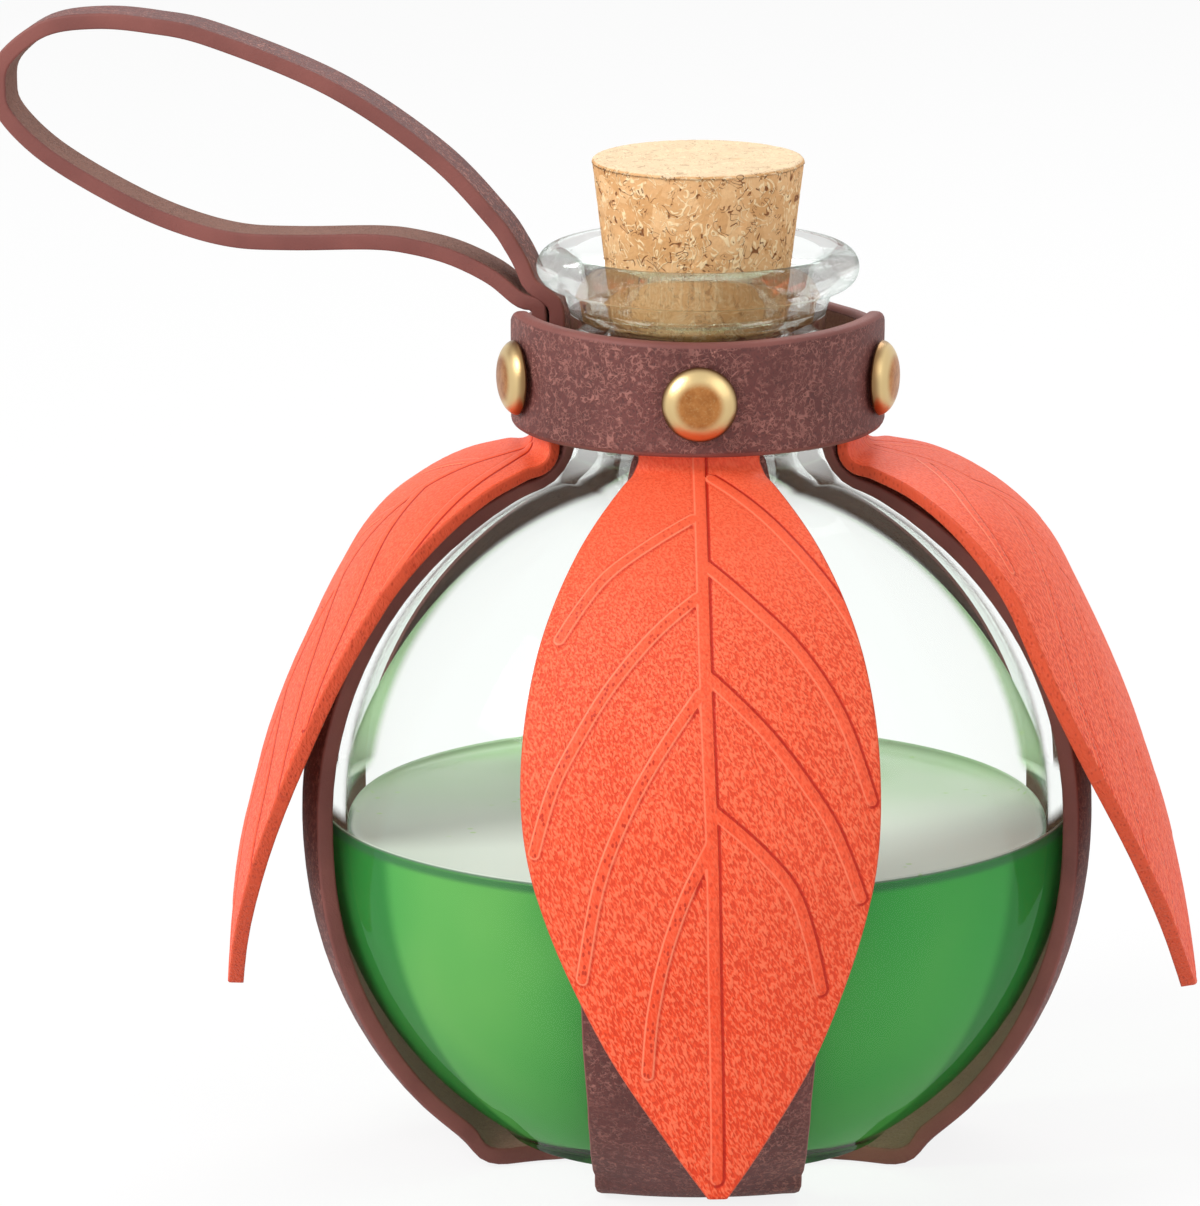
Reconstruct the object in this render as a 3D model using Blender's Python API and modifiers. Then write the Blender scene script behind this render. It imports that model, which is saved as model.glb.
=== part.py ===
"""Round glass flask with a cork, carried in a riveted leather harness with three leather leaves.

Metres, +Z up. The origin is on the flask's axis, on the surface that it stands on. The front faces -Y.
An azimuth is an angle about the axis: 0 at the front, positive towards +X.
"""

import math

import bmesh
import bpy
from mathutils import Matrix, Vector

MM = 0.001

# Fits shared by all pieces
SEAT_GAP = 0.3 * MM
HOLE_CLEARANCE = 0.3 * MM
CUT_OVERRUN = 2.0 * MM
TURNED_STEPS = 40

# Leather: full thickness, and the thickness it is skived to where tabs stack up on the neck
STRAP_LEATHER = 2.0 * MM
LEAF_LEATHER = 1.8 * MM
SKIVED_LEATHER = 1.4 * MM

# Glass flask
BODY_RADIUS = 45.0 * MM
GLASS_WALL = 3.0 * MM
NECK_RADIUS = 15.2 * MM
NECK_FLARE = 0.8 * MM
NECK_WALL = 3.2 * MM
SHOULDER_FILLET = 5.0 * MM
LIP_OVERHANG = 3.15 * MM
LIP_HEIGHT = 4.5 * MM
FOOT_RING_RADIUS = 21.5 * MM
FOOT_RING_WIDTH = 3.0 * MM
PUNT_RISE = 4.0 * MM
FLOOR_RISE = 3.3 * MM
HEEL_FILLET = 1.5 * MM

# Liquid
LIQUID_LEVEL = 0.9 * MM

# Cork
CORK_LENGTH = 20.1 * MM
CORK_BASE_INSET = 1.85 * MM
CORK_TOP_OUTSET = 0.6 * MM
CORK_DEPTH = 9.3 * MM
CORK_EDGE = 0.6 * MM
SEAT_LENGTH = 2.6 * MM

# Neck band
BAND_LEATHER = 2.0 * MM
BAND_HEIGHT = 13.6 * MM
BAND_SIDE_RISE = 0.5 * MM
BAND_LIFT = 2.0 * MM
BAND_BACK_DROP = 2.5 * MM
BAND_OVERLAP = 10.4 * MM
NECK_SHOWN = 7.4 * MM

# Rivets: an outer cap pressed on a post that stands on a smaller inner cap
RIVET_CAP_RADIUS = 4.45 * MM
RIVET_CAP_RIM = 0.9 * MM
RIVET_DOME = 1.3 * MM
RIVET_BASE_RADIUS = 3.0 * MM
RIVET_BASE_THICKNESS = 0.7 * MM
RIVET_POST_RADIUS = 1.35 * MM
RIVET_SOCKET_DEPTH = 1.2 * MM
RIVET_DROP = 7.1 * MM
RIVET_STEPS = 18

# Straps: half widths along the length, and how far the lower half stands off the glass
TAB_HALF_WIDTH = 3.5 * MM
TAB_TOP_DROP = 3.8 * MM
TAB_SHOULDER_DROP = 9.9 * MM
STRAP_NECK_HALF_WIDTH = 7.1 * MM
STRAP_BELLY_HALF_WIDTH = 14.2 * MM
STRAP_FOOT_HALF_WIDTH = 12.2 * MM
STRAP_CROSSING_HALF_WIDTH = 9.0 * MM
STRAP_FILLET = 4.0 * MM
STRAP_STANDOFF = 1.5 * MM
STRAP_LEAVE_Z = 4.4 * MM
STRAP_FOOT_FILLET = 3.5 * MM

# Leaves
LEAF_HALF_WIDTH = 21.2 * MM
LEAF_TIP_HALF_WIDTH = 1.15 * MM
LEAF_LEAN = 2.0 * MM
FLEX_GAP = 0.8 * MM
FRONT_LEAF_LENGTH = 93.0 * MM
FRONT_LEAF_TUCK = 1.5 * MM
SIDE_LEAF_SINK = 0.66 * MM

# Hanging loop: a stiff flat strap, both ends held between the neck and the band
LOOP_LEATHER = 1.9 * MM
LOOP_HALF_WIDTH = 3.25 * MM
LOOP_REACH = 84.1 * MM
LOOP_HEIGHT = 32.9 * MM
LOOP_TUCK = 9.6 * MM
LOOP_ROOT_DROP = 0.4 * MM

SIDE_AZIMUTH = math.radians(74)
SIDE_ROOT_AZIMUTH = math.radians(83)
BELLY_AZIMUTH = math.radians(90)
LOOP_SPACING = math.radians(3)
SHARP_ANGLE = math.radians(35)

# Heights and radii that follow from the sizes above
FOOT_Z = STRAP_LEATHER + SEAT_GAP
FOOT_OUTER = FOOT_RING_RADIUS + FOOT_RING_WIDTH / 2
FOOT_INNER = FOOT_RING_RADIUS - FOOT_RING_WIDTH / 2
HEEL_RADIUS = FOOT_OUTER + HEEL_FILLET
CENTRE_Z = FOOT_Z + HEEL_FILLET + math.sqrt(BODY_RADIUS**2 - HEEL_RADIUS**2)
INNER_RADIUS = BODY_RADIUS - GLASS_WALL
STRAP_LINE_RADIUS = BODY_RADIUS + SEAT_GAP + STRAP_LEATHER / 2
STRAP_LEAVE = math.pi - math.acos((CENTRE_Z - STRAP_LEAVE_Z) / (STRAP_LINE_RADIUS + STRAP_STANDOFF))
BAND_Z = CENTRE_Z + BODY_RADIUS + BAND_LIFT
BAND_TOP_Z = BAND_Z + BAND_HEIGHT
LIP_Z = BAND_TOP_Z + NECK_SHOWN
THROAT_RADIUS = NECK_RADIUS - NECK_WALL
NECK_TOP_RADIUS = NECK_RADIUS + NECK_FLARE
LIP_RADIUS = NECK_TOP_RADIUS + LIP_OVERHANG
CORK_Z = LIP_Z - CORK_DEPTH
CORK_BASE_RADIUS = THROAT_RADIUS - CORK_BASE_INSET
CORK_TOP_RADIUS = THROAT_RADIUS + CORK_TOP_OUTSET
CORK_TAPER = (CORK_TOP_RADIUS - CORK_BASE_RADIUS) / CORK_LENGTH
RIVET_Z = BAND_TOP_Z - RIVET_DROP
RIVET_BACK_Z = RIVET_Z - BAND_BACK_DROP / 2
TAB_TOP_Z = BAND_TOP_Z - TAB_TOP_DROP
TAB_SHOULDER_Z = BAND_TOP_Z - TAB_SHOULDER_DROP
RIVET_BASE_REACH = NECK_RADIUS + SEAT_GAP
RIVET_BASE_TOP = RIVET_BASE_REACH + RIVET_BASE_THICKNESS
STRAP_TAB_REACH = math.hypot(RIVET_BASE_TOP + SEAT_GAP, RIVET_BASE_RADIUS) + SKIVED_LEATHER / 2
LEAF_TAB_REACH = STRAP_TAB_REACH + SKIVED_LEATHER + SEAT_GAP
LEAF_BELLY_RADIUS = BODY_RADIUS + STRAP_LEATHER + 3 * SEAT_GAP + LEAF_LEATHER / 2
BAND_REACH = LEAF_TAB_REACH + SKIVED_LEATHER / 2 + SEAT_GAP + BAND_LEATHER / 2
LAP_REACH = BAND_REACH + BAND_LEATHER + SEAT_GAP
FLEX_Z = BAND_Z - FLEX_GAP * 0.75


def polar(centre, radius, angle):
    """A point of a meridian outline (distance from the axis, height) on a circle; angle 0 is straight up."""
    return Vector((centre[0] + radius * math.sin(angle), centre[1] + radius * math.cos(angle)))


def arc(centre, radius, start, end, steps):
    """Evenly spaced points on a circle in a meridian plane, both ends included."""
    return [polar(centre, radius, start + (end - start) * i / steps) for i in range(steps + 1)]


def smooth(value, low, high):
    """0 below low, 1 above high, with an S curve between."""
    share = min(max((value - low) / (high - low), 0.0), 1.0)
    return share * share * (3 - 2 * share)


def through(knots, position):
    """The height at a position of the smooth curve through knots of (position, height)."""
    count = len(knots)
    slopes = []
    for i in range(count):
        before = knots[max(i - 1, 0)]
        after = knots[min(i + 1, count - 1)]
        slopes.append((after[1] - before[1]) / (after[0] - before[0]))
    i = 0
    while i < count - 2 and position > knots[i + 1][0]:
        i += 1
    (x0, y0), (x1, y1) = knots[i], knots[i + 1]
    span = x1 - x0
    t = (position - x0) / span
    return ((2 * t**3 - 3 * t**2 + 1) * y0 + (t**3 - 2 * t**2 + t) * span * slopes[i]
            + (3 * t**2 - 2 * t**3) * y1 + (t**3 - t**2) * span * slopes[i + 1])


def rounded(corners, radii, steps):
    """A polyline whose inner corners are rounded to the radii."""
    points = [Vector(corners[0])]
    for i, radius in enumerate(radii, 1):
        corner = Vector(corners[i])
        back = (Vector(corners[i - 1]) - corner).normalized()
        ahead = (Vector(corners[i + 1]) - corner).normalized()
        half = back.angle(ahead) / 2
        centre = corner + (back + ahead).normalized() * radius / math.sin(half)
        reach = radius / math.tan(half)
        first = corner + back * reach - centre
        turn = first.angle_signed(corner + ahead * reach - centre)
        for k in range(steps + 1):
            spoke = first.copy()
            spoke.rotate(Matrix.Rotation(-turn * k / steps, 2))
            points.append(centre + spoke)
    points.append(Vector(corners[-1]))
    return points


def divided(start, end, steps):
    """Points of a straight run, the ends left out."""
    return [Vector(start).lerp(Vector(end), i / steps) for i in range(1, steps)]


def shoulder(body_radius, neck_radius, fillet, steps):
    """The hollow bend from a vertical neck into the round body, from the top down, and where it ends."""
    out = neck_radius + fillet
    rise = math.sqrt((body_radius + fillet) ** 2 - out**2)
    centre = Vector((out, CENTRE_Z + rise))
    meet = math.atan2(out, rise)
    return arc(centre, fillet, -math.pi / 2, meet - math.pi, steps), meet


def lengths(path):
    """Distance along a path at each of its points."""
    total = [0.0]
    for a, b in zip(path, path[1:]):
        total.append(total[-1] + (b - a).length)
    return total


def add_material(obj, colour, roughness, metallic=0.0, transmission=0.0):
    """Gives the object a Principled material of its own."""
    material = bpy.data.materials.new(obj.name + "_finish")
    material.use_nodes = True
    shader = material.node_tree.nodes["Principled BSDF"]
    shader.inputs["Base Color"].default_value = (*colour, 1.0)
    shader.inputs["Roughness"].default_value = roughness
    shader.inputs["Metallic"].default_value = metallic
    shader.inputs["Transmission Weight"].default_value = transmission
    material.diffuse_color = (*colour, 1.0)
    obj.data.materials.append(material)


BROWN_LEATHER = {"colour": (0.16, 0.055, 0.04), "roughness": 0.6}
ORANGE_LEATHER = {"colour": (0.86, 0.1, 0.032), "roughness": 0.55}
CLEAR_GLASS = {"colour": (0.93, 0.97, 0.95), "roughness": 0.02, "transmission": 1.0}
GREEN_LIQUID = {"colour": (0.1, 0.42, 0.13), "roughness": 0.05, "transmission": 0.6}
PRESSED_CORK = {"colour": (0.72, 0.45, 0.2), "roughness": 0.9}
AGED_BRASS = {"colour": (0.45, 0.3, 0.12), "roughness": 0.35, "metallic": 1.0}


def put(name, mesh, finish, collection):
    """A mesh as a named object of the model, shaded smooth with crisp edges."""
    mesh.shade_smooth()
    mesh.set_sharp_from_angle(angle=SHARP_ANGLE)
    obj = bpy.data.objects.new(name, mesh)
    collection.objects.link(obj)
    if finish:
        add_material(obj, **finish)
    return obj


def turned(name, profile, finish, collection):
    """A solid turned from a profile in the XZ plane, whose outer side runs from the top down."""
    mesh = bpy.data.meshes.new(name)
    points = [(p[0], 0, p[1]) for p in profile]
    mesh.from_pydata(points, [(i, i + 1) for i in range(len(points) - 1)], [])
    obj = put(name, mesh, finish, collection)
    screw = obj.modifiers.new("turn", "SCREW")
    screw.axis = "Z"
    screw.steps = TURNED_STEPS
    screw.render_steps = TURNED_STEPS
    screw.use_merge_vertices = True
    screw.merge_threshold = 0.00001
    screw.use_smooth_shade = True
    return obj


def ribbon(name, path, half_width, azimuth, columns, collection, cup=None, lean=None):
    """A leather strip as an open sheet, laid along a path of (distance from the axis, height).

    half_width, azimuth, cup and lean are functions of the point's index. Crosswise the sheet lies on the
    round surface that the path would sweep about the axis; cup scales that curvature.
    """
    rows = len(path) - 1
    sheet = bmesh.new()
    bmesh.ops.create_grid(sheet, x_segments=rows, y_segments=columns, size=1.0)
    sheet.verts.ensure_lookup_table()
    for vert in sheet.verts:
        i = round((vert.co.x + 1) / 2 * rows)
        across = vert.co.y * half_width(i) + (lean(i) if lean else 0.0)
        along = (path[min(i + 1, rows)] - path[max(i - 1, 0)]).normalized()
        normal = Vector((-along.y, along.x))
        angle = azimuth(i)
        outward = Vector((math.sin(angle), -math.cos(angle), 0))
        sideways = Vector((math.cos(angle), math.sin(angle), 0))
        up = Vector((0, 0, 1))
        curvature = max(normal.x, 0.0) / max(path[i].x, BODY_RADIUS / TURNED_STEPS)
        bend = curvature * (cup(i) if cup else 1)
        if abs(bend * across) > 0:
            offset = math.sin(bend * across) / bend
            drop = (1 - math.cos(bend * across)) / bend
        else:
            offset = across
            drop = 0.0
        place = outward * path[i].x + up * path[i].y
        vert.co = place + sideways * offset - (outward * normal.x + up * normal.y) * drop
    mesh = bpy.data.meshes.new(name)
    sheet.to_mesh(mesh)
    sheet.free()
    return put(name, mesh, None, collection)


def flat_strip(name, path, half_width, angle, collection):
    """A leather strip of one width, flat crosswise."""
    return ribbon(name, path, lambda i: half_width, lambda i: angle, 1, collection, cup=lambda i: 0)


def thicken(obj, thickness, thickness_at=None):
    """Gives a sheet its thickness, half on each side; thickness_at gives a vertex's own thickness."""
    solidify = obj.modifiers.new("leather", "SOLIDIFY")
    solidify.thickness = thickness
    solidify.offset = 0.0
    solidify.use_even_offset = True
    if thickness_at:
        group = obj.vertex_groups.new(name="skived")
        for vert in obj.data.vertices:
            group.add([vert.index], min(thickness_at(vert.co) / thickness, 1.0), "REPLACE")
        solidify.vertex_group = group.name
        solidify.thickness_vertex_group = 0.0


def cut(obj, cutter):
    """Takes the cutter out of the object."""
    boolean = obj.modifiers.new(cutter.name, "BOOLEAN")
    boolean.operation = "DIFFERENCE"
    boolean.object = cutter


def model_flask(collection):
    """Blown flask: round body, punted foot, short neck with a tapered cork seat and a rolled lip."""
    centre = Vector((0, CENTRE_Z))
    lip_bead = LIP_HEIGHT / 2
    bead_centre = Vector((LIP_RADIUS - lip_bead, LIP_Z - lip_bead))
    bend, meet = shoulder(BODY_RADIUS, NECK_RADIUS, SHOULDER_FILLET, 4)
    heel = math.pi - math.asin(HEEL_RADIUS / BODY_RADIUS)

    seat_top = CORK_Z + SEAT_LENGTH / 2
    seat_base = CORK_Z - SEAT_LENGTH / 2
    mouth = NECK_TOP_RADIUS - NECK_WALL + SEAT_GAP
    inner_bend, inner_meet = shoulder(INNER_RADIUS, THROAT_RADIUS, SHOULDER_FILLET, 3)

    profile = inner_floor(0.0)
    profile += arc(centre, INNER_RADIUS, floor_angle(INNER_RADIUS), inner_meet, 13)
    profile += inner_bend[::-1][1:]
    profile.append(Vector((THROAT_RADIUS, seat_base - SEAT_LENGTH)))
    profile.append(Vector((cork_radius(seat_base) + SEAT_GAP, seat_base)))
    profile.append(Vector((cork_radius(seat_top) + SEAT_GAP, seat_top)))
    profile.append(Vector((mouth - SEAT_GAP, seat_top + SEAT_GAP)))
    profile.append(Vector((mouth, LIP_Z - LIP_HEIGHT)))
    profile.append(Vector((bead_centre.x - lip_bead * 0.75, bead_centre.y + lip_bead * 0.35)))
    profile += arc(bead_centre, lip_bead, -math.pi / 9, math.pi * 0.94, 8)
    profile.append(Vector((NECK_TOP_RADIUS, LIP_Z - LIP_HEIGHT * 1.1)))
    profile.append(Vector((NECK_RADIUS, BAND_TOP_Z - SEAT_GAP)))
    profile += bend
    profile += arc(centre, BODY_RADIUS, meet, heel, 15)[1:]
    profile.append(Vector((FOOT_OUTER + HEEL_FILLET * 0.3, FOOT_Z + HEEL_FILLET * 0.3)))
    profile.append(Vector((FOOT_OUTER, FOOT_Z)))
    profile.append(Vector((FOOT_INNER, FOOT_Z)))
    for share in (0.4, 0.75, 0.95):
        height = PUNT_RISE * math.sqrt(share)
        profile.append(Vector((FOOT_INNER * math.sqrt(1 - share**2), FOOT_Z + height)))
    profile.append(Vector((0, FOOT_Z + PUNT_RISE)))
    return turned("glass_flask", profile, CLEAR_GLASS, collection)


def cork_radius(height):
    """The tapered cork's radius at a height."""
    return CORK_BASE_RADIUS + (height - CORK_Z) * CORK_TAPER


def floor_angle(radius):
    """Where a round wall of this radius inside the flask meets the flask's floor."""
    return math.acos((FOOT_Z + FLOOR_RISE - CENTRE_Z) / radius)


def inner_floor(lift):
    """The flask's floor inside, from the middle out: it follows the punt. The lift raises it."""
    return [
        Vector((0, FOOT_Z + PUNT_RISE + GLASS_WALL + lift)),
        Vector((FOOT_INNER * 0.6, FOOT_Z + PUNT_RISE * 0.8 + GLASS_WALL + lift)),
        Vector((FOOT_INNER, FOOT_Z + FLOOR_RISE * 1.1 + lift)),
    ]


def model_liquid(collection):
    """The liquid fills the flask to just under the middle, a fit gap clear of the glass."""
    centre = Vector((0, CENTRE_Z))
    fill_radius = INNER_RADIUS - SEAT_GAP
    start = math.acos(-LIQUID_LEVEL / fill_radius)
    profile = [Vector((0, CENTRE_Z - LIQUID_LEVEL))]
    profile += arc(centre, fill_radius, start, floor_angle(fill_radius) - SEAT_GAP / fill_radius, 9)
    profile += inner_floor(SEAT_GAP)[::-1]
    return turned("potion_liquid", profile, GREEN_LIQUID, collection)


def model_cork(collection):
    """Tapered stopper of pressed cork. Its origin is in its foot, on the axis that it is pulled along."""
    top = CORK_Z + CORK_LENGTH
    profile = [
        Vector((0, top)),
        Vector((CORK_TOP_RADIUS - CORK_EDGE / 2, top)),
        Vector((CORK_TOP_RADIUS, top - CORK_EDGE / 2)),
        Vector((cork_radius(CORK_Z + CORK_EDGE), CORK_Z + CORK_EDGE)),
        Vector((CORK_BASE_RADIUS - CORK_EDGE, CORK_Z)),
        Vector((0, CORK_Z)),
    ]
    cork = turned("cork_stopper", [p - Vector((0, CORK_Z)) for p in profile], PRESSED_CORK, collection)
    cork.location.z = CORK_Z
    return cork


def model_band(rivet_holes, collection):
    """Leather strip round the neck, its ends lapped at the back, where its top edge is cut lower."""
    half_lap = BAND_OVERLAP / 2 / BAND_REACH
    end = math.pi + half_lap
    columns = 64
    mesh = bpy.data.meshes.new("neck_band")
    sheet = bmesh.new()
    bmesh.ops.create_grid(sheet, x_segments=columns, y_segments=2, size=1.0)
    for vert in sheet.verts:
        angle = vert.co.x * end
        lapped = smooth(angle, end - 5 * half_lap, end - 2.4 * half_lap)
        reach = BAND_REACH + (LAP_REACH - BAND_REACH) * lapped
        behind = smooth(abs(angle), SIDE_AZIMUTH + half_lap / 4, SIDE_AZIMUTH + 2 * half_lap)
        drop = BAND_BACK_DROP * behind
        rise = BAND_SIDE_RISE * smooth(abs(angle), 0.0, SIDE_AZIMUTH)
        height = BAND_Z + (BAND_HEIGHT + rise - drop) * (vert.co.y + 1) / 2
        vert.co = Vector((reach * math.sin(angle), -reach * math.cos(angle), height))
    sheet.to_mesh(mesh)
    sheet.free()
    band = put("neck_band", mesh, BROWN_LEATHER, collection)
    thicken(band, BAND_LEATHER)
    for hole in rivet_holes.values():
        cut(band, hole)
    return band


def strap_path():
    """Half a strap's centre line, from the top of its tab down round the body to the middle of the foot."""
    bend, meet = shoulder(STRAP_LINE_RADIUS, STRAP_TAB_REACH, STRAP_FILLET, 5)
    path = [Vector((STRAP_TAB_REACH, TAB_TOP_Z))]
    path += divided(path[0], bend[0], 5)
    path += bend
    steps = 14
    centre = Vector((0, CENTRE_Z))
    for k in range(1, steps + 1):
        angle = meet + (STRAP_LEAVE - meet) * k / steps
        standoff = STRAP_STANDOFF * smooth(angle, math.pi / 2, STRAP_LEAVE)
        path.append(polar(centre, STRAP_LINE_RADIUS + standoff, angle))
    floor_z = STRAP_LEATHER / 2
    fall = (path[-1] - path[-2]).normalized()
    corner = path[-1] + fall * ((path[-1].y - floor_z) / -fall.y)
    foot = rounded([path[-1], corner, (STRAP_CROSSING_HALF_WIDTH * 1.85, floor_z)], [STRAP_FOOT_FILLET], 4)
    return path + foot[1:]


def strap_half_width(path):
    """A function that gives a strap's half width at each point of its path."""
    run = lengths(path)
    root = next(run[i] for i, p in enumerate(path) if p.y < BAND_Z)
    belly = next(run[i] for i, p in enumerate(path) if p.y < CENTRE_Z)
    foot = next(run[i] for i, p in enumerate(path) if p.y < STRAP_LEATHER)
    end = next((run[i] for i, p in enumerate(path) if p.x < STRAP_CROSSING_HALF_WIDTH * 1.9), run[-1])
    knots = [
        (root, STRAP_NECK_HALF_WIDTH),
        ((root + belly) / 2, (STRAP_NECK_HALF_WIDTH + STRAP_BELLY_HALF_WIDTH) / 2),
        (belly, STRAP_BELLY_HALF_WIDTH),
        (foot, STRAP_FOOT_HALF_WIDTH),
        (end, STRAP_CROSSING_HALF_WIDTH),
    ]

    def half_width(i):
        if path[i].y > BAND_Z:
            return tab_half_width(path[i].y, STRAP_NECK_HALF_WIDTH)
        if run[i] > end:
            return STRAP_CROSSING_HALF_WIDTH
        return through(knots, run[i])

    return half_width


def tab_half_width(height, root_half_width):
    """Inside the band a tab narrows to a tongue that the rivet holds."""
    widening = 1 - smooth(height, BAND_Z, TAB_SHOULDER_Z)
    return TAB_HALF_WIDTH + (root_half_width - TAB_HALF_WIDTH) * widening


def skived(full):
    """Thickness of a strip whose top is thinned where it lies under the band."""
    def thickness_at(place):
        thinned = smooth(place.z, CENTRE_Z + BODY_RADIUS * 0.78, BAND_Z - BAND_LIFT)
        return full + (SKIVED_LEATHER - full) * thinned

    return thickness_at


def model_strap(name, crossing_rise, azimuth_at, mirror_axis, holes, collection):
    """A long strap that runs from the neck down one side, under the foot and up the other side."""
    path = strap_path()
    last = path[-1]
    ramp_start = STRAP_CROSSING_HALF_WIDTH + 3 * SEAT_GAP
    steps = 8
    for k in range(1, steps + 1):
        out = last.x * (1 - k / steps)
        rise = crossing_rise * (1 - smooth(out, ramp_start, last.x))
        path.append(Vector((out, STRAP_LEATHER / 2 + rise)))
    half_width = strap_half_width(path)
    strap = ribbon(name, path, half_width, lambda i: azimuth_at(path[i].y), 4, collection)
    mirror = strap.modifiers.new("both_sides", "MIRROR")
    mirror.use_axis = (mirror_axis == "X", mirror_axis == "Y", False)
    mirror.merge_threshold = 0.0001
    thicken(strap, STRAP_LEATHER, skived(STRAP_LEATHER))
    for hole in holes:
        cut(strap, hole)
    add_material(strap, **BROWN_LEATHER)
    return strap


def side_azimuth(height):
    """The side straps' tongues sit a little forward; below the band the straps run down the sides."""
    below = 1 - smooth(height, BAND_Z - STRAP_FILLET, TAB_SHOULDER_Z)
    return SIDE_AZIMUTH + (BELLY_AZIMUTH - SIDE_AZIMUTH) * below


LEAF_WIDTH_shares = [
    (0.0, 0.335), (0.15, 0.68), (0.3, 0.91), (0.47, 1.0), (0.62, 0.925),
    (0.8, 0.61), (0.94, 0.235), (1.0, 0.055),
]


def leaf_half_width(path):
    """The pointed oval outline of a leaf, as a function of the point's index."""
    run = lengths(path)

    def half_width(i):
        return max(LEAF_HALF_WIDTH * through(LEAF_WIDTH_shares, run[i] / run[-1]), LEAF_TIP_HALF_WIDTH)

    return half_width


def front_leaf_path():
    """The front leaf lies on the strap over the shoulder and hangs straight down below the belly."""
    fillet = STRAP_FILLET - (LEAF_TAB_REACH - STRAP_TAB_REACH)
    bend, meet = shoulder(LEAF_BELLY_RADIUS, LEAF_TAB_REACH, fillet, 4)
    path = [Vector((LEAF_TAB_REACH, FLEX_Z - FLEX_GAP / 2))]
    path += [p for p in bend if p.y < path[0].y - SEAT_GAP]
    path += arc(Vector((0, CENTRE_Z)), LEAF_BELLY_RADIUS, meet, math.pi / 2, 13)[1:]
    left = FRONT_LEAF_LENGTH - lengths(path)[-1]
    tip = path[-1] + Vector((-FRONT_LEAF_TUCK, -left))
    return path + divided(path[-1], tip, 9) + [tip]


# Each side leaf: which side, its blade's azimuth at the belly, the two corners that it bends round, its tip
# and its bends. The points are shares of the belly's overhang past the leaf's tongue and of the belly's radius
# above the middle; the root's bend is a share of its drop, the others of the overhang
LEAF_ROOT_BEND_share = 1.13
LEAF_FLATTENING_share = 0.5
SIDE_LEAF_shares = {
    "left": (-1, math.radians(88), [(0.555, 0.875), (1.186, 0.112)], (1.222, -0.458), [0.887, 3.4]),
    "right": (1, math.radians(82), [(0.628, 0.884), (1.186, 0.1)], (1.351, -0.453), [0.887, 5.0]),
}


def side_leaf_path(corner_shares, tip_shares, bend_shares):
    """A side leaf springs out from under the band and hangs in a long curve clear of the body."""
    overhang = LEAF_BELLY_RADIUS - LEAF_TAB_REACH
    start = Vector((LEAF_TAB_REACH, FLEX_Z - FLEX_GAP / 2))
    crown_z = CENTRE_Z + math.sqrt(LEAF_BELLY_RADIUS**2 - LEAF_TAB_REACH**2)
    root = Vector((LEAF_TAB_REACH, crown_z - SIDE_LEAF_SINK))
    points = [
        Vector((LEAF_TAB_REACH + out * overhang, CENTRE_Z + up * BODY_RADIUS))
        for out, up in corner_shares + [tip_shares]
    ]
    bends = [LEAF_ROOT_BEND_share * (start.y - root.y)] + [share * overhang for share in bend_shares]
    line = rounded([start, root] + points, bends, 5)
    path = line[:7] + divided(line[6], line[7], 2) + line[7:-1]
    return path + divided(line[-2], line[-1], 4) + [line[-1]]


def model_leaf(side, root_angle, blade_angle, flattening, path, collection):
    """A leaf of orange leather: the hanging blade, which may turn a little away from its root's azimuth."""
    run = lengths(path)

    def azimuth(i):
        return root_angle + (blade_angle - root_angle) * smooth(run[i] / run[-1], 0.0, 0.5)

    blade = ribbon(
        "leaf_" + side, path, leaf_half_width(path), azimuth, 8, collection,
        cup=lambda i: 1 - flattening * smooth(run[i] / run[-1], 0.05, 0.4),
        lean=lambda i: LEAF_LEAN * smooth(run[i] / run[-1], 0.45, 1.0),
    )
    thicken(blade, LEAF_LEATHER, skived(LEAF_LEATHER))
    add_material(blade, **ORANGE_LEATHER)
    return blade


def model_leaf_tab(side, rivet_angle, root_angle, hole, collection):
    """The tongue of a leaf that is riveted under the band."""
    low = Vector((LEAF_TAB_REACH, FLEX_Z + FLEX_GAP / 2))
    high = Vector((LEAF_TAB_REACH, TAB_TOP_Z))
    path = [high] + divided(high, low, 7) + [low]
    root = LEAF_HALF_WIDTH * LEAF_WIDTH_shares[0][1]

    def azimuth(i):
        return root_angle + (rivet_angle - root_angle) * smooth(path[i].y, low.y, TAB_SHOULDER_Z)

    tab = ribbon(
        "leaf_" + side + "_tab", path, lambda i: tab_half_width(path[i].y, root), azimuth, 6, collection,
    )
    thicken(tab, SKIVED_LEATHER)
    cut(tab, hole)
    add_material(tab, **ORANGE_LEATHER)
    return tab


# The loop's centre line beyond the lip, as shares of its reach past the neck and of its height over the band
LOOP_UPPER_shares = [
    (0.047, 0.214), (0.085, 0.319), (0.197, 0.541), (0.382, 0.778), (0.605, 0.947), (0.72, 0.99),
    (0.82, 1), (0.915, 0.966), (0.988, 0.851),
]
LOOP_LOWER_shares = [
    (1, 0.74), (0.986, 0.643), (0.916, 0.509), (0.801, 0.375), (0.687, 0.275), (0.573, 0.217),
    (0.46, 0.211), (0.31, 0.223), (0.236, 0.211), (0.16, 0.175), (0.087, 0.108),
]


def loop_azimuth():
    """The loop's ends lie behind the left rivet's tongue, side by side with it."""
    tongue = TAB_HALF_WIDTH / STRAP_TAB_REACH
    strand = LOOP_HALF_WIDTH / (NECK_RADIUS + LOOP_LEATHER / 2)
    return -(SIDE_AZIMUTH + tongue + strand + LOOP_SPACING + 2 * SEAT_GAP / NECK_RADIUS)


def loop_strand_reaches():
    """Distance from the axis of the loop's inner and outer end where they are held."""
    inner = NECK_RADIUS + SEAT_GAP + LOOP_LEATHER / 2
    return inner, inner + LOOP_LEATHER + SEAT_GAP


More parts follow.
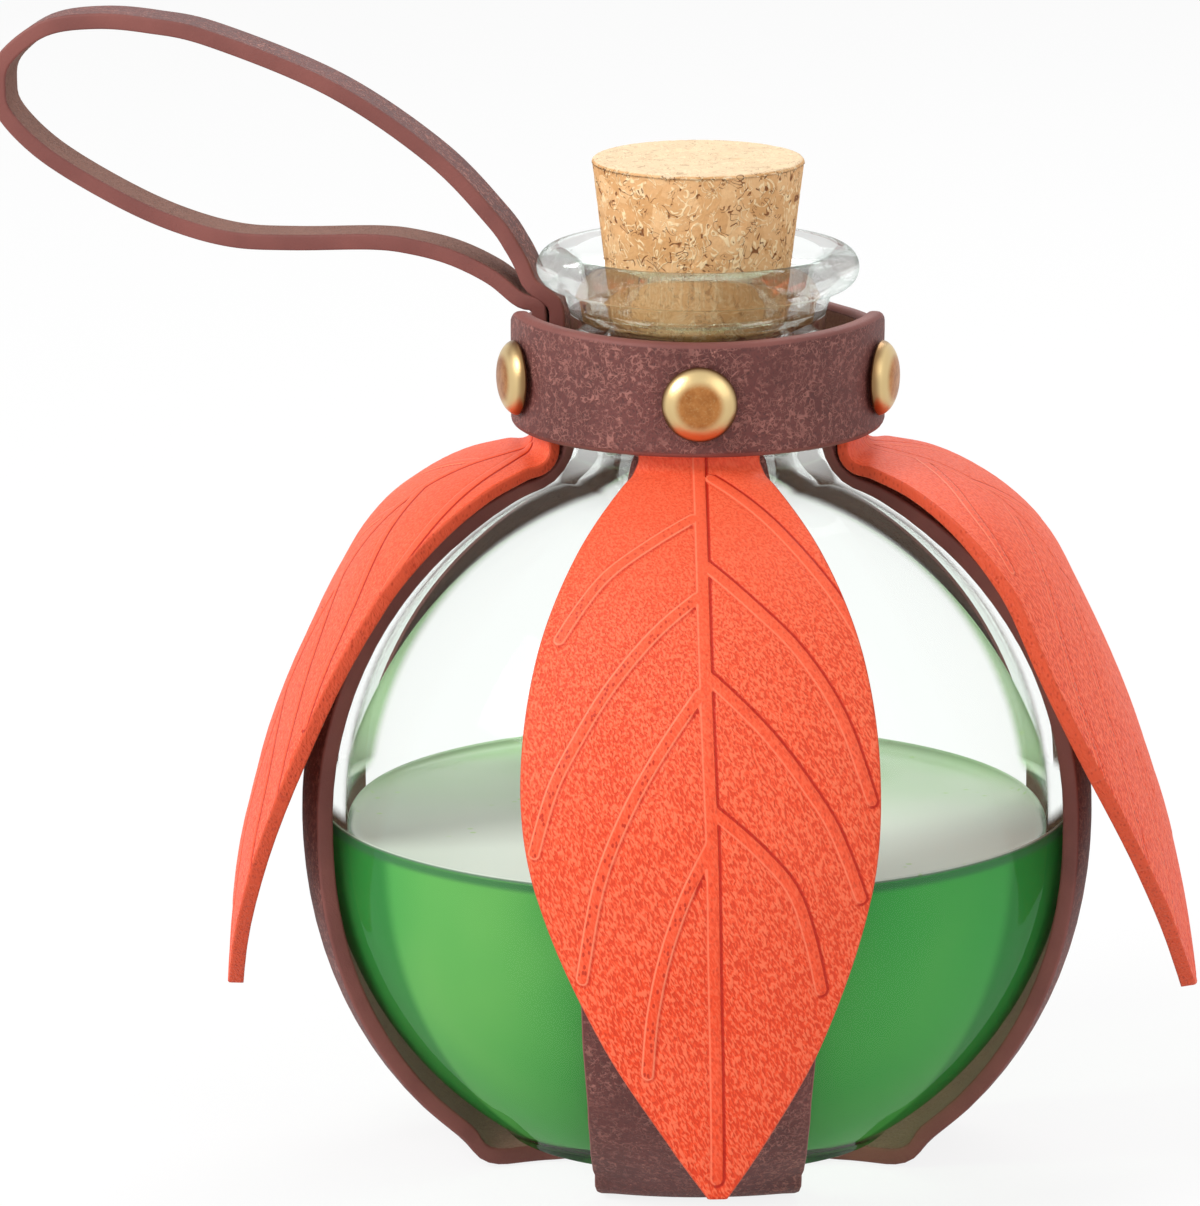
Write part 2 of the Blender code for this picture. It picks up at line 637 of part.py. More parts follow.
def curve_through(points, steps):
    """Points of the smooth curve through chosen points."""
    path = []
    for i in range(len(points) - 1):
        before = points[max(i - 1, 0)]
        here = points[i]
        there = points[i + 1]
        after = points[min(i + 2, len(points) - 1)]
        for k in range(steps):
            t = k / steps
            path.append(0.5 * (2 * here + (there - before) * t
                               + (2 * before - 5 * here + 4 * there - after) * t**2
                               + (3 * here - before - 3 * there + after) * t**3))
    path.append(points[-1])
    return path


def loop_path():
    """The loop: out past the lip, over the top, round the end and back over the band's edge."""
    inner, outer = loop_strand_reaches()
    start_z = BAND_TOP_Z - LOOP_ROOT_DROP
    bead = LIP_HEIGHT / 2
    bead_centre = Vector((LIP_RADIUS - bead, LIP_Z - bead))
    clear = bead + SEAT_GAP + LOOP_LEATHER / 2
    span = LOOP_REACH - outer
    upper = [Vector((outer + x * span, BAND_TOP_Z + y * LOOP_HEIGHT)) for x, y in LOOP_UPPER_shares]
    lower = [Vector((outer + x * span, BAND_TOP_Z + y * LOOP_HEIGHT)) for x, y in LOOP_LOWER_shares]
    root_up = [
        Vector((inner, start_z)),
        Vector((inner + LOOP_LEATHER * 0.32, start_z + LOOP_LEATHER * 0.7)),
        polar(bead_centre, clear * 1.02, math.radians(132)),
        polar(bead_centre, clear * 1.04, math.radians(95)),
    ]
    root_down = [
        polar(bead_centre, clear + LOOP_LEATHER + SEAT_GAP * 1.5, math.radians(135)),
        Vector((outer + LOOP_LEATHER * 0.15, start_z + LOOP_LEATHER * 0.4)),
        Vector((outer, start_z)),
    ]
    return curve_through(root_up + upper + lower + root_down, 3)


def model_loop(collection):
    """The swinging part of the loop: one flat strap, its width lying across the loop's plane."""
    angle = loop_azimuth()
    path = loop_path()
    loop = flat_strip("hanging_loop", path, LOOP_HALF_WIDTH, angle, collection)
    thicken(loop, LOOP_LEATHER)
    add_material(loop, **BROWN_LEATHER)
    return loop


def model_loop_ends(collection):
    """The loop's two ends, squeezed between the neck and the band."""
    angle = loop_azimuth()
    top_z = BAND_TOP_Z - LOOP_ROOT_DROP - FLEX_GAP
    for place, reach in zip(("inner", "outer"), loop_strand_reaches()):
        top = Vector((reach, top_z))
        foot = Vector((reach, BAND_TOP_Z - LOOP_TUCK))
        path = [top] + divided(top, foot, 2) + [foot]
        end = flat_strip("loop_end_" + place, path, LOOP_HALF_WIDTH, angle, collection)
        thicken(end, LOOP_LEATHER)
        add_material(end, **BROWN_LEATHER)


def rivet_places():
    """Each rivet's azimuth, height and the reach of the outer face of the leather under its cap."""
    band_face = BAND_REACH + BAND_LEATHER / 2
    lap_face = LAP_REACH + BAND_LEATHER / 2
    return {
        "front": (0.0, RIVET_Z, band_face),
        "left": (-SIDE_AZIMUTH, RIVET_Z, band_face),
        "right": (SIDE_AZIMUTH, RIVET_Z, band_face),
        "back": (math.pi, RIVET_BACK_Z, lap_face),
    }


def stand_out(obj, angle, height):
    """Turns a piece made along +Z to point away from the axis at an azimuth and height."""
    obj.rotation_euler = (math.pi / 2, 0, angle)
    obj.location = (0, 0, height)


def model_rivet(label, angle, height, face, collection):
    """A double cap rivet: domed outer cap, and a post on a thin inner cap."""
    cap_z = face + SEAT_GAP
    post_end = cap_z + RIVET_SOCKET_DEPTH - SEAT_GAP
    socket = RIVET_POST_RADIUS + HOLE_CLEARANCE
    dome = []
    for k in range(6):
        turn = math.pi / 2 * k / 5
        rise = RIVET_CAP_RIM + RIVET_DOME * math.cos(turn)
        dome.append(Vector((RIVET_CAP_RADIUS * math.sin(turn), cap_z + rise)))
    profile = dome + [
        Vector((RIVET_CAP_RADIUS, cap_z + RIVET_CAP_RIM / 3)),
        Vector((RIVET_CAP_RADIUS - RIVET_CAP_RIM / 3, cap_z)),
        Vector((socket, cap_z)),
        Vector((socket, cap_z + RIVET_SOCKET_DEPTH)),
        Vector((0, cap_z + RIVET_SOCKET_DEPTH)),
    ]
    cap = turned("rivet_" + label + "_cap", profile, AGED_BRASS, collection)
    profile = [
        Vector((0, post_end)),
        Vector((RIVET_POST_RADIUS, post_end)),
        Vector((RIVET_POST_RADIUS, RIVET_BASE_TOP)),
        Vector((RIVET_BASE_RADIUS - RIVET_BASE_THICKNESS / 3, RIVET_BASE_TOP)),
        Vector((RIVET_BASE_RADIUS, RIVET_BASE_TOP - RIVET_BASE_THICKNESS / 3)),
        Vector((RIVET_BASE_RADIUS, RIVET_BASE_REACH)),
        Vector((0, RIVET_BASE_REACH)),
    ]
    post = turned("rivet_" + label + "_post", profile, AGED_BRASS, collection)
    for piece in (cap, post):
        piece.modifiers["turn"].steps = RIVET_STEPS
        piece.modifiers["turn"].render_steps = RIVET_STEPS
        stand_out(piece, angle, height)


def rivet_hole(label, angle, height, face, collection):
    """A round cutter along a rivet's axis, through all the leather under its cap."""
    inner = RIVET_BASE_TOP - SEAT_GAP
    length = face - inner + CUT_OVERRUN
    mesh = bpy.data.meshes.new("hole_" + label)
    shape = bmesh.new()
    bmesh.ops.create_cone(
        shape, cap_ends=True, segments=RIVET_STEPS,
        radius1=RIVET_POST_RADIUS + HOLE_CLEARANCE, radius2=RIVET_POST_RADIUS + HOLE_CLEARANCE, depth=length,
        matrix=Matrix.Translation((0, 0, inner + length / 2)),
    )
    shape.to_mesh(mesh)
    shape.free()
    hole = bpy.data.objects.new("hole_" + label, mesh)
    collection.objects.link(hole)
    stand_out(hole, angle, height)
    hole.hide_render = True
    hole.display_type = "WIRE"
    return hole


def main():
    for obj in list(bpy.data.objects):
        bpy.data.objects.remove(obj)
    bottle = bpy.data.collections.new("potion_bottle")
    cutters = bpy.data.collections.new("cutters")
    for collection in (bottle, cutters):
        bpy.context.scene.collection.children.link(collection)

    places = rivet_places()
    holes = {label: rivet_hole(label, *place, cutters) for label, place in places.items()}

    model_flask(bottle)
    model_liquid(bottle)
    model_cork(bottle)
    model_band(holes, bottle)
    model_strap("strap_front_back", 0.0, lambda height: 0.0, "Y", (holes["front"], holes["back"]), bottle)
    crossing_rise = STRAP_LEATHER + SEAT_GAP
    side_holes = (holes["left"], holes["right"])
    model_strap("strap_left_right", crossing_rise, side_azimuth, "X", side_holes, bottle)

    model_leaf("front", 0.0, 0.0, 0.0, front_leaf_path(), bottle)
    model_leaf_tab("front", 0.0, 0.0, holes["front"], bottle)
    for side, (way, blade_angle, *shares) in SIDE_LEAF_shares.items():
        root_angle = way * SIDE_ROOT_AZIMUTH
        path = side_leaf_path(*shares)
        model_leaf(side, root_angle, way * blade_angle, LEAF_FLATTENING_share, path, bottle)
        model_leaf_tab(side, way * SIDE_AZIMUTH, root_angle, holes[side], bottle)

    model_loop(bottle)
    model_loop_ends(bottle)
    for label, place in places.items():
        model_rivet(label, *place, bottle)


main()
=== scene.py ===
"""The looks of a round glass flask with a cork, in a riveted leather harness with three leaves and a loop.

Metres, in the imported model's own frame: +Z up, the front towards -Y, the origin under the flask's foot.
An azimuth is an angle about the flask's axis, 0 at the front and positive towards +X.
"""

import math

import bmesh
import bpy
import numpy as np
from mathutils import Matrix, Vector, noise


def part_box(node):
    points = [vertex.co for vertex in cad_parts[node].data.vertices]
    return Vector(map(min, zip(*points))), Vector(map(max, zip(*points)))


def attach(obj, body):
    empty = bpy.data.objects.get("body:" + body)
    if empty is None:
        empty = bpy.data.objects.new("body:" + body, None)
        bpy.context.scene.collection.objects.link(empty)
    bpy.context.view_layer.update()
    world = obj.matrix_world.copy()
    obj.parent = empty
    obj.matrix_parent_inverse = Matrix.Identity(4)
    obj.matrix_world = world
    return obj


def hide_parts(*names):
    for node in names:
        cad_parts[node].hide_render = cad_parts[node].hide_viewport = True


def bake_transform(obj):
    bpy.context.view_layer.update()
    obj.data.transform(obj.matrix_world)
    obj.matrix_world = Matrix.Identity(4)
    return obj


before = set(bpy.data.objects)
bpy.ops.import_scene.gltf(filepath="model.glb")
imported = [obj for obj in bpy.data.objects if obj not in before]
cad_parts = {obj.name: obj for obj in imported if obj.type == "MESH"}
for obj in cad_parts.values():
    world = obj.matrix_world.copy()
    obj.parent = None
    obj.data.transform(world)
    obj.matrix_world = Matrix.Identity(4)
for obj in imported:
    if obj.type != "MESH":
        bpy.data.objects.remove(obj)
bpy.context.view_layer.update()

MM = 0.001


# The flask
# A round body blown from clear glass, with a punted foot, a short neck and a rolled lip.
# It is turned from one outline, thick at the foot and fine enough that no facet shows.

def polar(centre, radius, angle):
    """A point of an outline (distance from the axis, height) on a circle; angle 0 is straight up."""
    return Vector((centre[0] + radius * math.sin(angle), centre[1] + radius * math.cos(angle)))


def arc(centre, radius, start, end, steps):
    """Evenly spaced points on a circle of an outline, both ends included."""
    return [polar(centre, radius, start + (end - start) * i / steps) for i in range(steps + 1)]


def shoulder(body_radius, neck_radius, fillet, steps):
    """The hollow bend from a vertical neck into the round body, from the top down, and where it ends."""
    out = neck_radius + fillet
    rise = math.sqrt((body_radius + fillet) ** 2 - out**2)
    meet = math.atan2(out, rise)
    return arc((out, body_middle + rise), fillet, -math.pi / 2, meet - math.pi, steps), meet


def rounded(corners, radii, steps):
    """A polyline whose inner corners are rounded to the radii."""
    points = [Vector(corners[0])]
    for i, radius in enumerate(radii, 1):
        corner = Vector(corners[i])
        back = (Vector(corners[i - 1]) - corner).normalized()
        ahead = (Vector(corners[i + 1]) - corner).normalized()
        half = back.angle(ahead) / 2
        centre = corner + (back + ahead).normalized() * radius / math.sin(half)
        first = corner + back * radius / math.tan(half) - centre
        turn = first.angle_signed(corner + ahead * radius / math.tan(half) - centre)
        for k in range(steps + 1):
            spoke = first.copy()
            spoke.rotate(Matrix.Rotation(-turn * k / steps, 2))
            points.append(centre + spoke)
    points.append(Vector(corners[-1]))
    return points


def shaded(name, verts, faces):
    """A closed, smooth-shaded mesh object with its faces turned outwards."""
    mesh = bpy.data.meshes.new(name)
    mesh.from_pydata([tuple(v) for v in verts], [], faces)
    work = bmesh.new()
    work.from_mesh(mesh)
    bmesh.ops.recalc_face_normals(work, faces=work.faces)
    work.to_mesh(mesh)
    work.free()
    mesh.shade_smooth()
    piece = bpy.data.objects.new(name, mesh)
    bpy.context.scene.collection.objects.link(piece)
    return piece


def turned(name, outline, steps=160):
    """A solid turned about +Z from an outline that starts and ends on the axis."""
    verts, faces, before = [], [], None
    for x, z in outline:
        if x < 1e-7:
            ring = [len(verts)] * steps
            verts.append((0, 0, z))
        else:
            ring = list(range(len(verts), len(verts) + steps))
            turns = [2 * math.pi * k / steps for k in range(steps)]
            verts += [(x * math.sin(a), -x * math.cos(a), z) for a in turns]
        if before:
            for k in range(steps):
                n = (k + 1) % steps
                corners = dict.fromkeys((before[k], ring[k], ring[n], before[n]))
                faces.append(list(corners))
        before = ring
    return shaded(name, verts, faces)


class Wire:
    """A shader socket in an expression: an operator adds the Math node that works it out."""

    def __init__(self, tree, socket=None):
        self.tree = tree
        self.socket = socket

    def node(self, kind, settings, sockets, out=0):
        """Adds a node: its settings first, then the values or wires of its sockets. Gives one output."""
        made = self.tree.nodes.new(kind)
        for name, value in settings.items():
            if name == "stops":
                while len(made.color_ramp.elements) < len(value):
                    made.color_ramp.elements.new(1.0)
                for element, (position, colour) in zip(made.color_ramp.elements, value):
                    element.position = position
                    element.color = (*colour, 1.0)
            else:
                setattr(made, name, value)
        for name, value in sockets.items():
            if isinstance(value, Wire):
                self.tree.links.new(value.socket, made.inputs[name])
            else:
                made.inputs[name].default_value = value
        return Wire(self.tree, made.outputs[out])

    def math(self, operation, *terms):
        return self.node("ShaderNodeMath", {"operation": operation}, dict(enumerate(terms)))

    def __add__(self, other):
        return self.math("ADD", self, other)

    def __sub__(self, other):
        return self.math("SUBTRACT", self, other)

    def __rsub__(self, other):
        return self.math("SUBTRACT", other, self)

    def __mul__(self, other):
        return self.math("MULTIPLY", self, other)

    def __pow__(self, other):
        return self.math("POWER", self, other)

    __radd__ = __add__
    __rmul__ = __mul__

    def larger(self, other):
        """The larger of this wire and another."""
        return self.math("MAXIMUM", self, other)

    def between(self, low, high):
        """0 below low, 1 above high, with an S curve between; it falls instead where high is the lower."""
        sockets = {0: self, 1: low, 2: high, 3: 0.0, 4: 1.0}
        return self.node("ShaderNodeMapRange", {"interpolation_type": "SMOOTHSTEP"}, sockets)

    def blend(self, first, second):
        """The first colour where this wire is 0, the second where it is 1."""
        return self.node("ShaderNodeMix", {"data_type": "RGBA"}, {0: self, 6: first, 7: second}, out=2)

    def axis(self, index):
        """One coordinate of a place, direction or mark: 0 for x, 1 for y, 2 for z."""
        return self.node("ShaderNodeSeparateXYZ", {}, {0: self}, out=index)

    def attribute(self, name):
        """What the mesh carries under this name."""
        return self.node("ShaderNodeAttribute", {"attribute_name": name}, {}, out=1)

    def stretched(self, x, y, z):
        """A place wire with its axes multiplied; what it drives is stretched where a number is under 1."""
        return self.node("ShaderNodeVectorMath", {"operation": "MULTIPLY"}, {0: self, 1: (x, y, z)})

    def cloud(self, size, detail=3.0, rough=0.5, twist=0.0):
        """Noise whose blotches are about this size, in metres."""
        sockets = {"Vector": self, "Scale": 1 / size, "Detail": detail}
        sockets.update({"Roughness": rough, "Distortion": twist})
        return self.node("ShaderNodeTexNoise", {}, sockets)

    def curls(self, size, turns, twist):
        """Winding lines: 0 in the middle of one, 1 half-way to the next. Noise of this size turns them."""
        wave = self.cloud(size, detail=1.0, twist=twist) * turns
        return wave.math("PINGPONG", wave, 0.5) * 2.0

    def creases(self, size, twist):
        """Fine winding lines about this far apart: 0 in the middle of one."""
        wave = self.cloud(size, detail=0.0, twist=twist) - 0.5
        return wave.math("ABSOLUTE", wave) * 8.0

    def cells(self, size, out=0):
        """Cells of about this size: how far a cell's middle is, in sizes, or with out=1 a colour for each."""
        sockets = {"Vector": self, "Scale": 1 / size, "Randomness": 1.0}
        return self.node("ShaderNodeTexVoronoi", {"feature": "F1"}, sockets, out=out)

    def relief(self, height, strength, below=None):
        """A bump whose wire is worth this many metres from 0 to 1."""
        sockets = {"Height": self, "Distance": height, "Strength": strength}
        if below:
            sockets["Normal"] = below
        return self.node("ShaderNodeBump", {}, sockets)


def finish(name, **constants):
    """A material with one Principled shader: its place wire in metres, and a way to feed the shader."""
    material = bpy.data.materials.new(name)
    material.use_nodes = True
    tree = material.node_tree
    shader = tree.nodes["Principled BSDF"]
    for socket, value in constants.items():
        shader.inputs[socket.replace("_", " ")].default_value = value
    place = Wire(tree).node("ShaderNodeTexCoord", {}, {}, out=3)

    def feed(**wires):
        for socket, wire in wires.items():
            tree.links.new(wire.socket, shader.inputs[socket.replace("_", " ")])

    return material, place, feed


(_, _, foot_z), (body_radius, _, lip_z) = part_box("glass_flask")
band_low, band_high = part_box("neck_band")
band_side_rise = 0.5 * MM
band_z, band_top_z = band_low[2], band_high[2] - band_side_rise
body_middle = band_z - 2.0 * MM - body_radius
glass_wall = 3.0 * MM
inner_radius = body_radius - glass_wall
neck_radius = 15.2 * MM
neck_top_radius = 16.0 * MM
neck_wall = 3.2 * MM
lip_radius = 19.15 * MM
lip_height = 4.5 * MM
foot_outer = 23.0 * MM
foot_inner = 20.0 * MM
punt = 4.0 * MM
(_, _, cork_z), (cork_top_radius, _, cork_top_z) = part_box("cork_stopper")
cork_base_radius = 10.15 * MM

bead = lip_height / 2
neck_fillet = 5 * MM
bend, meet = shoulder(body_radius, neck_radius, neck_fillet, 14)
inner_bend, inner_meet = shoulder(inner_radius, neck_radius - neck_wall, neck_fillet, 12)
heel = math.pi - math.asin((foot_outer + 1.5 * MM) / body_radius)
floor_rise = 3.3 * MM
floor_angle = math.acos((foot_z + floor_rise - body_middle) / inner_radius)
mouth = neck_top_radius - neck_wall + 0.3 * MM
throat = neck_radius - neck_wall
mouth_line = rounded(
    [(throat, cork_z - 5 * MM), (throat, cork_z - 2.5 * MM),
     (cork_base_radius + 0.3 * MM, cork_z - 0.6 * MM), (cork_base_radius + 0.5 * MM, cork_z + 1.3 * MM),
     (mouth, cork_z + 2.4 * MM), (mouth, lip_z - lip_height), (mouth + 1.2 * MM, lip_z - 1.4 * MM)],
    [1.2 * MM, 0.8 * MM, 0.5 * MM, 0.7 * MM, 2.5 * MM], 5,
)
punt_shape = [(0.0, 1.0), (0.35, 0.95), (0.7, 0.6)]
outline = [Vector((foot_inner * out, foot_z + punt * rise + glass_wall)) for out, rise in punt_shape]
floor_start = floor_angle - 0.02
outline += arc((0, body_middle), inner_radius, floor_start, inner_meet, 60)
outline += inner_bend[::-1][1:] + mouth_line
outline += arc((lip_radius - bead, lip_z - bead), bead, -math.pi / 5, math.pi * 0.94, 18)
outline += rounded(
    [(neck_top_radius + 0.3 * MM, lip_z - lip_height), (neck_top_radius, lip_z - lip_height * 1.1),
     (neck_radius, band_top_z - 0.3 * MM), bend[0]], [1.0 * MM, 1.0 * MM], 4,
)
outline += bend[1:] + arc((0, body_middle), body_radius, meet, heel, 70)[1:]
outline += rounded(
    [(foot_outer + 0.9 * MM, foot_z + 0.9 * MM), (foot_outer, foot_z), (foot_inner, foot_z),
     (foot_inner * 0.75, foot_z + punt * 0.7), (0, foot_z + punt)], [0.6 * MM, 0.8 * MM, 3 * MM], 5,
)
flask = turned("flask_glass", outline)
glass_bend = 1.3
clear_glass, place, feed = finish(
    "clear_glass", Base_Color=(0.985, 0.997, 0.988, 1), Roughness=0.0, IOR=glass_bend,
    Transmission_Weight=1.0,
)
feed(Normal=place.cloud(16 * MM, detail=0.0).relief(0.05 * MM, 0.3))


def shader_of(material, place):
    """The output of a material's main shader, as a wire."""
    return Wire(place.tree, material.node_tree.nodes["Principled BSDF"].outputs[0])


def let_light_through(material, place, look, colour, rays):
    """Rays of these kinds pass straight through the material, tinted. All others see its own look."""
    light_path = place.tree.nodes.new("ShaderNodeLightPath")
    for kind in rays:
        passing = place.node("ShaderNodeBsdfTransparent", {}, {"Color": colour})
        ray = Wire(place.tree, light_path.outputs[kind])
        look = place.node("ShaderNodeMixShader", {}, {0: ray, 1: look, 2: passing})
    place.tree.links.new(look.socket, material.node_tree.nodes["Material Output"].inputs["Surface"])


# The glass's own look bends light the way a lens does. Most of the wall's mirror-like share is left out of it
# with a plain refraction, except where the wall is seen nearly edge-on.
mirrored = place.node("ShaderNodeFresnel", {}, {"IOR": glass_bend}).between(0.5, 0.9)
straight = place.node("ShaderNodeBsdfRefraction", {}, {
    "Color": (0.99, 1, 0.993, 1), "Roughness": 0.0, "IOR": glass_bend,
})
soft_glass = place.node("ShaderNodeMixShader", {}, {
    0: (1.0 - mirrored) * 0.75, 1: shader_of(clear_glass, place), 2: straight,
})
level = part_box("potion_liquid")[1][2]
height = place.axis(2)

# Part of the view passes the neck without bending, and the globe above the liquid where its wall is seen
# edge-on. The neck's outline is drawn grey: painted shade where the wall is seen edge-on.
slope = place.node("ShaderNodeLayerWeight", {}, {"Blend": 0.5}, out=1)
edge_on = slope.between(0.60, 0.68) * height.between(level + 2.5 * MM, level + 4.5 * MM)
edge_on = edge_on * height.between(band_z, band_z - 2 * MM) * 0.97
in_neck = height.between(band_z - 8 * MM, band_z - 2 * MM) * 0.5
thin_glass = place.node("ShaderNodeBsdfTransparent", {}, {"Color": (0.985, 0.995, 0.988, 1)})
# A grey see-through tint along the neck's outline is painted shade.
edge_shade_glass = place.node("ShaderNodeBsdfTransparent", {}, {"Color": (0.60, 0.66, 0.63, 1)})
painted_rim_shade = slope.between(0.66, 0.92) * height.between(band_z, band_z + 2 * MM)
thin_glass = place.node("ShaderNodeMixShader", {}, {0: painted_rim_shade, 1: thin_glass, 2: edge_shade_glass})
thin_share = edge_on.larger(in_neck)
soft_glass = place.node("ShaderNodeMixShader", {}, {0: thin_share, 1: soft_glass, 2: thin_glass})
glass_tint = (0.96, 0.985, 0.965, 1)
light_rays = ("Is Diffuse Ray", "Is Shadow Ray")
let_light_through(clear_glass, place, soft_glass, glass_tint, ("Glossy Depth",) + light_rays)
flask.data.materials.append(clear_glass)
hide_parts("glass_flask")
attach(flask, "flask")


# The liquid
# Milky green liquid that fills the flask to just under the middle. It creeps up the glass at its rim,
# and its edge overlaps the wall by a hair, so that no film of air shows between the two.

creep = 1.1 * MM
overlap = 0.08 * MM
wet_radius = inner_radius + overlap
start = math.acos((level + creep - body_middle) / wet_radius)
liquid_outline = [Vector((0, level)), Vector((wet_radius * 0.5, level)), Vector((wet_radius * 0.9, level))]
for k in range(1, 9):
    share = k / 8
    out = wet_radius - 3 * MM * (1 - share) ** 1.5
    liquid_outline.append(Vector((min(out, wet_radius * math.sin(start)), level + creep * share**3)))
liquid_outline += arc((0, body_middle), wet_radius, start, floor_start, 60)[1:]
for out, rise in punt_shape[::-1]:
    liquid_outline.append(Vector((foot_inner * out, foot_z + punt * rise + glass_wall - overlap)))
liquid = turned("liquid", liquid_outline)
green_liquid, place, feed = finish("green_liquid", Roughness=0.12, IOR=1.33, Specular_IOR_Level=0.12)
height = place.axis(2)
upward = place.node("ShaderNodeNewGeometry", {}, {}, out=1)
facing_up = upward.axis(2)
sideways = place.axis(0)
backward = place.axis(1)
drift = place.cloud(24 * MM, detail=1.0, twist=0.8).between(0.3, 0.7)
# A lighter band down the left of the liquid is painted light.
painted_light_band = sideways.between(-6 * MM, -26 * MM) * sideways.between(-38 * MM, -30 * MM)
green = (painted_light_band * 0.55 + drift * 0.2).blend((0.052, 0.330, 0.068, 1), (0.165, 0.450, 0.110, 1))
green = (height.between(foot_z + 24 * MM, foot_z + 5 * MM) * 0.5).blend(green, (0.075, 0.370, 0.080, 1))
# Darker green where the liquid turns towards the side straps is painted shade.
from_axis = (sideways * sideways + backward * backward) ** 0.5
turn = backward.math("DIVIDE", backward, from_axis)
painted_side_shade = turn.math("ABSOLUTE", turn).between(0.56, 0.50)
green = (painted_side_shade * 0.72).blend(green, (0.012, 0.165, 0.028, 1))
# The liquid's top is painted almost white, paler towards the front and greener towards the back, with painted
# glints: painted light and reflection on the top. A grey patch on its left is painted shade.
surface_with_painted_light = backward.between(-15 * MM, 30 * MM).blend((0.93, 0.99, 0.90, 1), (0.62, 0.90, 0.54, 1))
surface_with_painted_light = (place.cloud(14 * MM, detail=1.0).between(0.35, 0.65) * 0.25).blend(surface_with_painted_light, (0.92, 0.97, 0.88, 1))
surface_with_painted_light = (sideways.between(-20 * MM, -38 * MM) * 0.3).blend(surface_with_painted_light, (0.42, 0.56, 0.40, 1))
glints = place.cells(2.2 * MM).between(0.22, 0.10) * place.cloud(9 * MM, detail=1.0).between(0.55, 0.65)
surface_with_painted_light = (glints * 0.7).blend(surface_with_painted_light, (0.55, 0.85, 0.30, 1))
# The liquid's creeping edge along the front of the rim is painted dark green: painted shade.
front_rim = backward.between(2 * MM, -6 * MM)
meniscus_shade = facing_up.between(0.20, 0.45) * facing_up.between(0.95, 0.80)
creep_shade = height.between(level - 0.7 * MM, level + 0.1 * MM) * facing_up.between(0.35, 0.15)
meniscus_shade = meniscus_shade.larger(creep_shade) * front_rim
# The pale top colour runs down onto the far rim as painted light.
far_rim = height.between(level - 0.3 * MM, level + 0.1 * MM) * (1.0 - front_rim)
on_top = facing_up.between(0.35, 0.95)
green = on_top.larger(far_rim).blend(green, surface_with_painted_light)
feed(Base_Color=(meniscus_shade * 0.8).blend(green, (0.045, 0.15, 0.065, 1)))
liquid_tint = (0.76, 0.94, 0.76, 1)
milky = shader_of(green_liquid, place)
let_light_through(green_liquid, place, milky, liquid_tint, light_rays)
liquid.data.materials.append(green_liquid)
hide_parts("potion_liquid")
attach(liquid, "flask")


# The cork
# A tapered stopper pressed from cork granules, cut flat at both ends, with pits and dark specks of bark.
# It is pushed a third of its length into the neck.

granules_per_metre = 620
seam_share = 0.16


def cork_wear(point, out):
    """How far a spot of the cork sinks: granules stand a little apart, and some have fallen out."""
    near, _ = noise.voronoi(point * granules_per_metre)
    seam = max(0.0, seam_share - (near[1] - near[0])) / seam_share
    pit = max(0.0, noise.noise(point * 420 + Vector((3, 7, 1))) - 0.4)
    return out * -(0.05 * MM * seam + 0.9 * MM * pit)


cork_edge = 0.5 * MM
cork_outline = [Vector((cork_top_radius * k / 34, cork_top_z)) for k in range(33)]
cork_outline += arc((cork_top_radius - cork_edge, cork_top_z - cork_edge), cork_edge, 0, math.pi / 2, 3)
for k in range(1, 52):
    share = k / 52
    cork_outline.append(Vector((cork_top_radius + (cork_base_radius - cork_top_radius) * share,
                                cork_top_z + (cork_z - cork_top_z) * share)))
cork_outline += arc((cork_base_radius - cork_edge, cork_z + cork_edge), cork_edge, math.pi / 2, math.pi, 3)
cork_outline += [Vector((cork_base_radius * k / 12, cork_z)) for k in range(11, -1, -1)]
cork = turned("cork", cork_outline, 220)
for vert in cork.data.vertices:
    vert.co += cork_wear(vert.co, vert.normal)
pressed_cork, place, feed = finish("pressed_cork", Specular_IOR_Level=0.2)
grain = place.cells(2.2 * MM, out=1)
tone = grain.node("ShaderNodeSeparateColor", {}, {0: grain}, out=0)
tan = tone.node("ShaderNodeValToRGB", {"stops": [
    (0.0, (0.56, 0.28, 0.11)), (0.3, (0.67, 0.36, 0.15)), (0.65, (0.75, 0.43, 0.20)),
    (1.0, (0.84, 0.53, 0.27)),
]}, {0: tone * 0.7 + place.cloud(0.7 * MM, detail=3.0) * 0.4})
curls = place.stretched(1, 1, 0.8).curls(2.4 * MM, 5.0, twist=1.6).between(0.42, 0.12)
curls = curls * place.cloud(1.1 * MM, detail=1.0).between(0.42, 0.52)
splits = place.stretched(1, 1, 0.9).curls(2.9 * MM, 6.0, twist=1.9).between(0.24, 0.06)
splits = splits * place.cloud(1.5 * MM, detail=1.0).between(0.51, 0.57)
flakes = place.cloud(1.8 * MM, detail=3.0, twist=0.8).between(0.665, 0.70)
upward = place.node("ShaderNodeNewGeometry", {}, {}, out=1)
cut_top = upward.axis(2).between(0.6, 0.9)
tan = (curls * 0.85).blend(tan, (0.97, 0.74, 0.44, 1))
tan = (cut_top * 0.66).blend(tan, (0.97, 0.80, 0.56, 1))
dark = flakes.larger(splits) * (1.0 - cut_top * 0.6)
tan = (dark * 0.9).blend(tan, (0.20, 0.06, 0.016, 1))
feed(Base_Color=tan, Roughness=0.75 + place.cloud(1 * MM) * 0.2,
     Normal=(place.cloud(0.45 * MM, detail=3.0) + curls * 0.5 - dark).relief(0.22 * MM, 0.6))
cork.data.materials.append(pressed_cork)
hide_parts("cork_stopper")
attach(cork, "cork")


# The two long straps
# Brown harness leather, 2 mm thick with burnished edges. Each runs from a tongue under the neck band down the
# body, under the foot and up the other side; the left-right one crosses over the front-back one in the punt.

def smooth(value, low, high):
    """0 below low, 1 above high, with an S curve between."""
    share = min(max((value - low) / (high - low), 0.0), 1.0)
    return share * share * (3 - 2 * share)


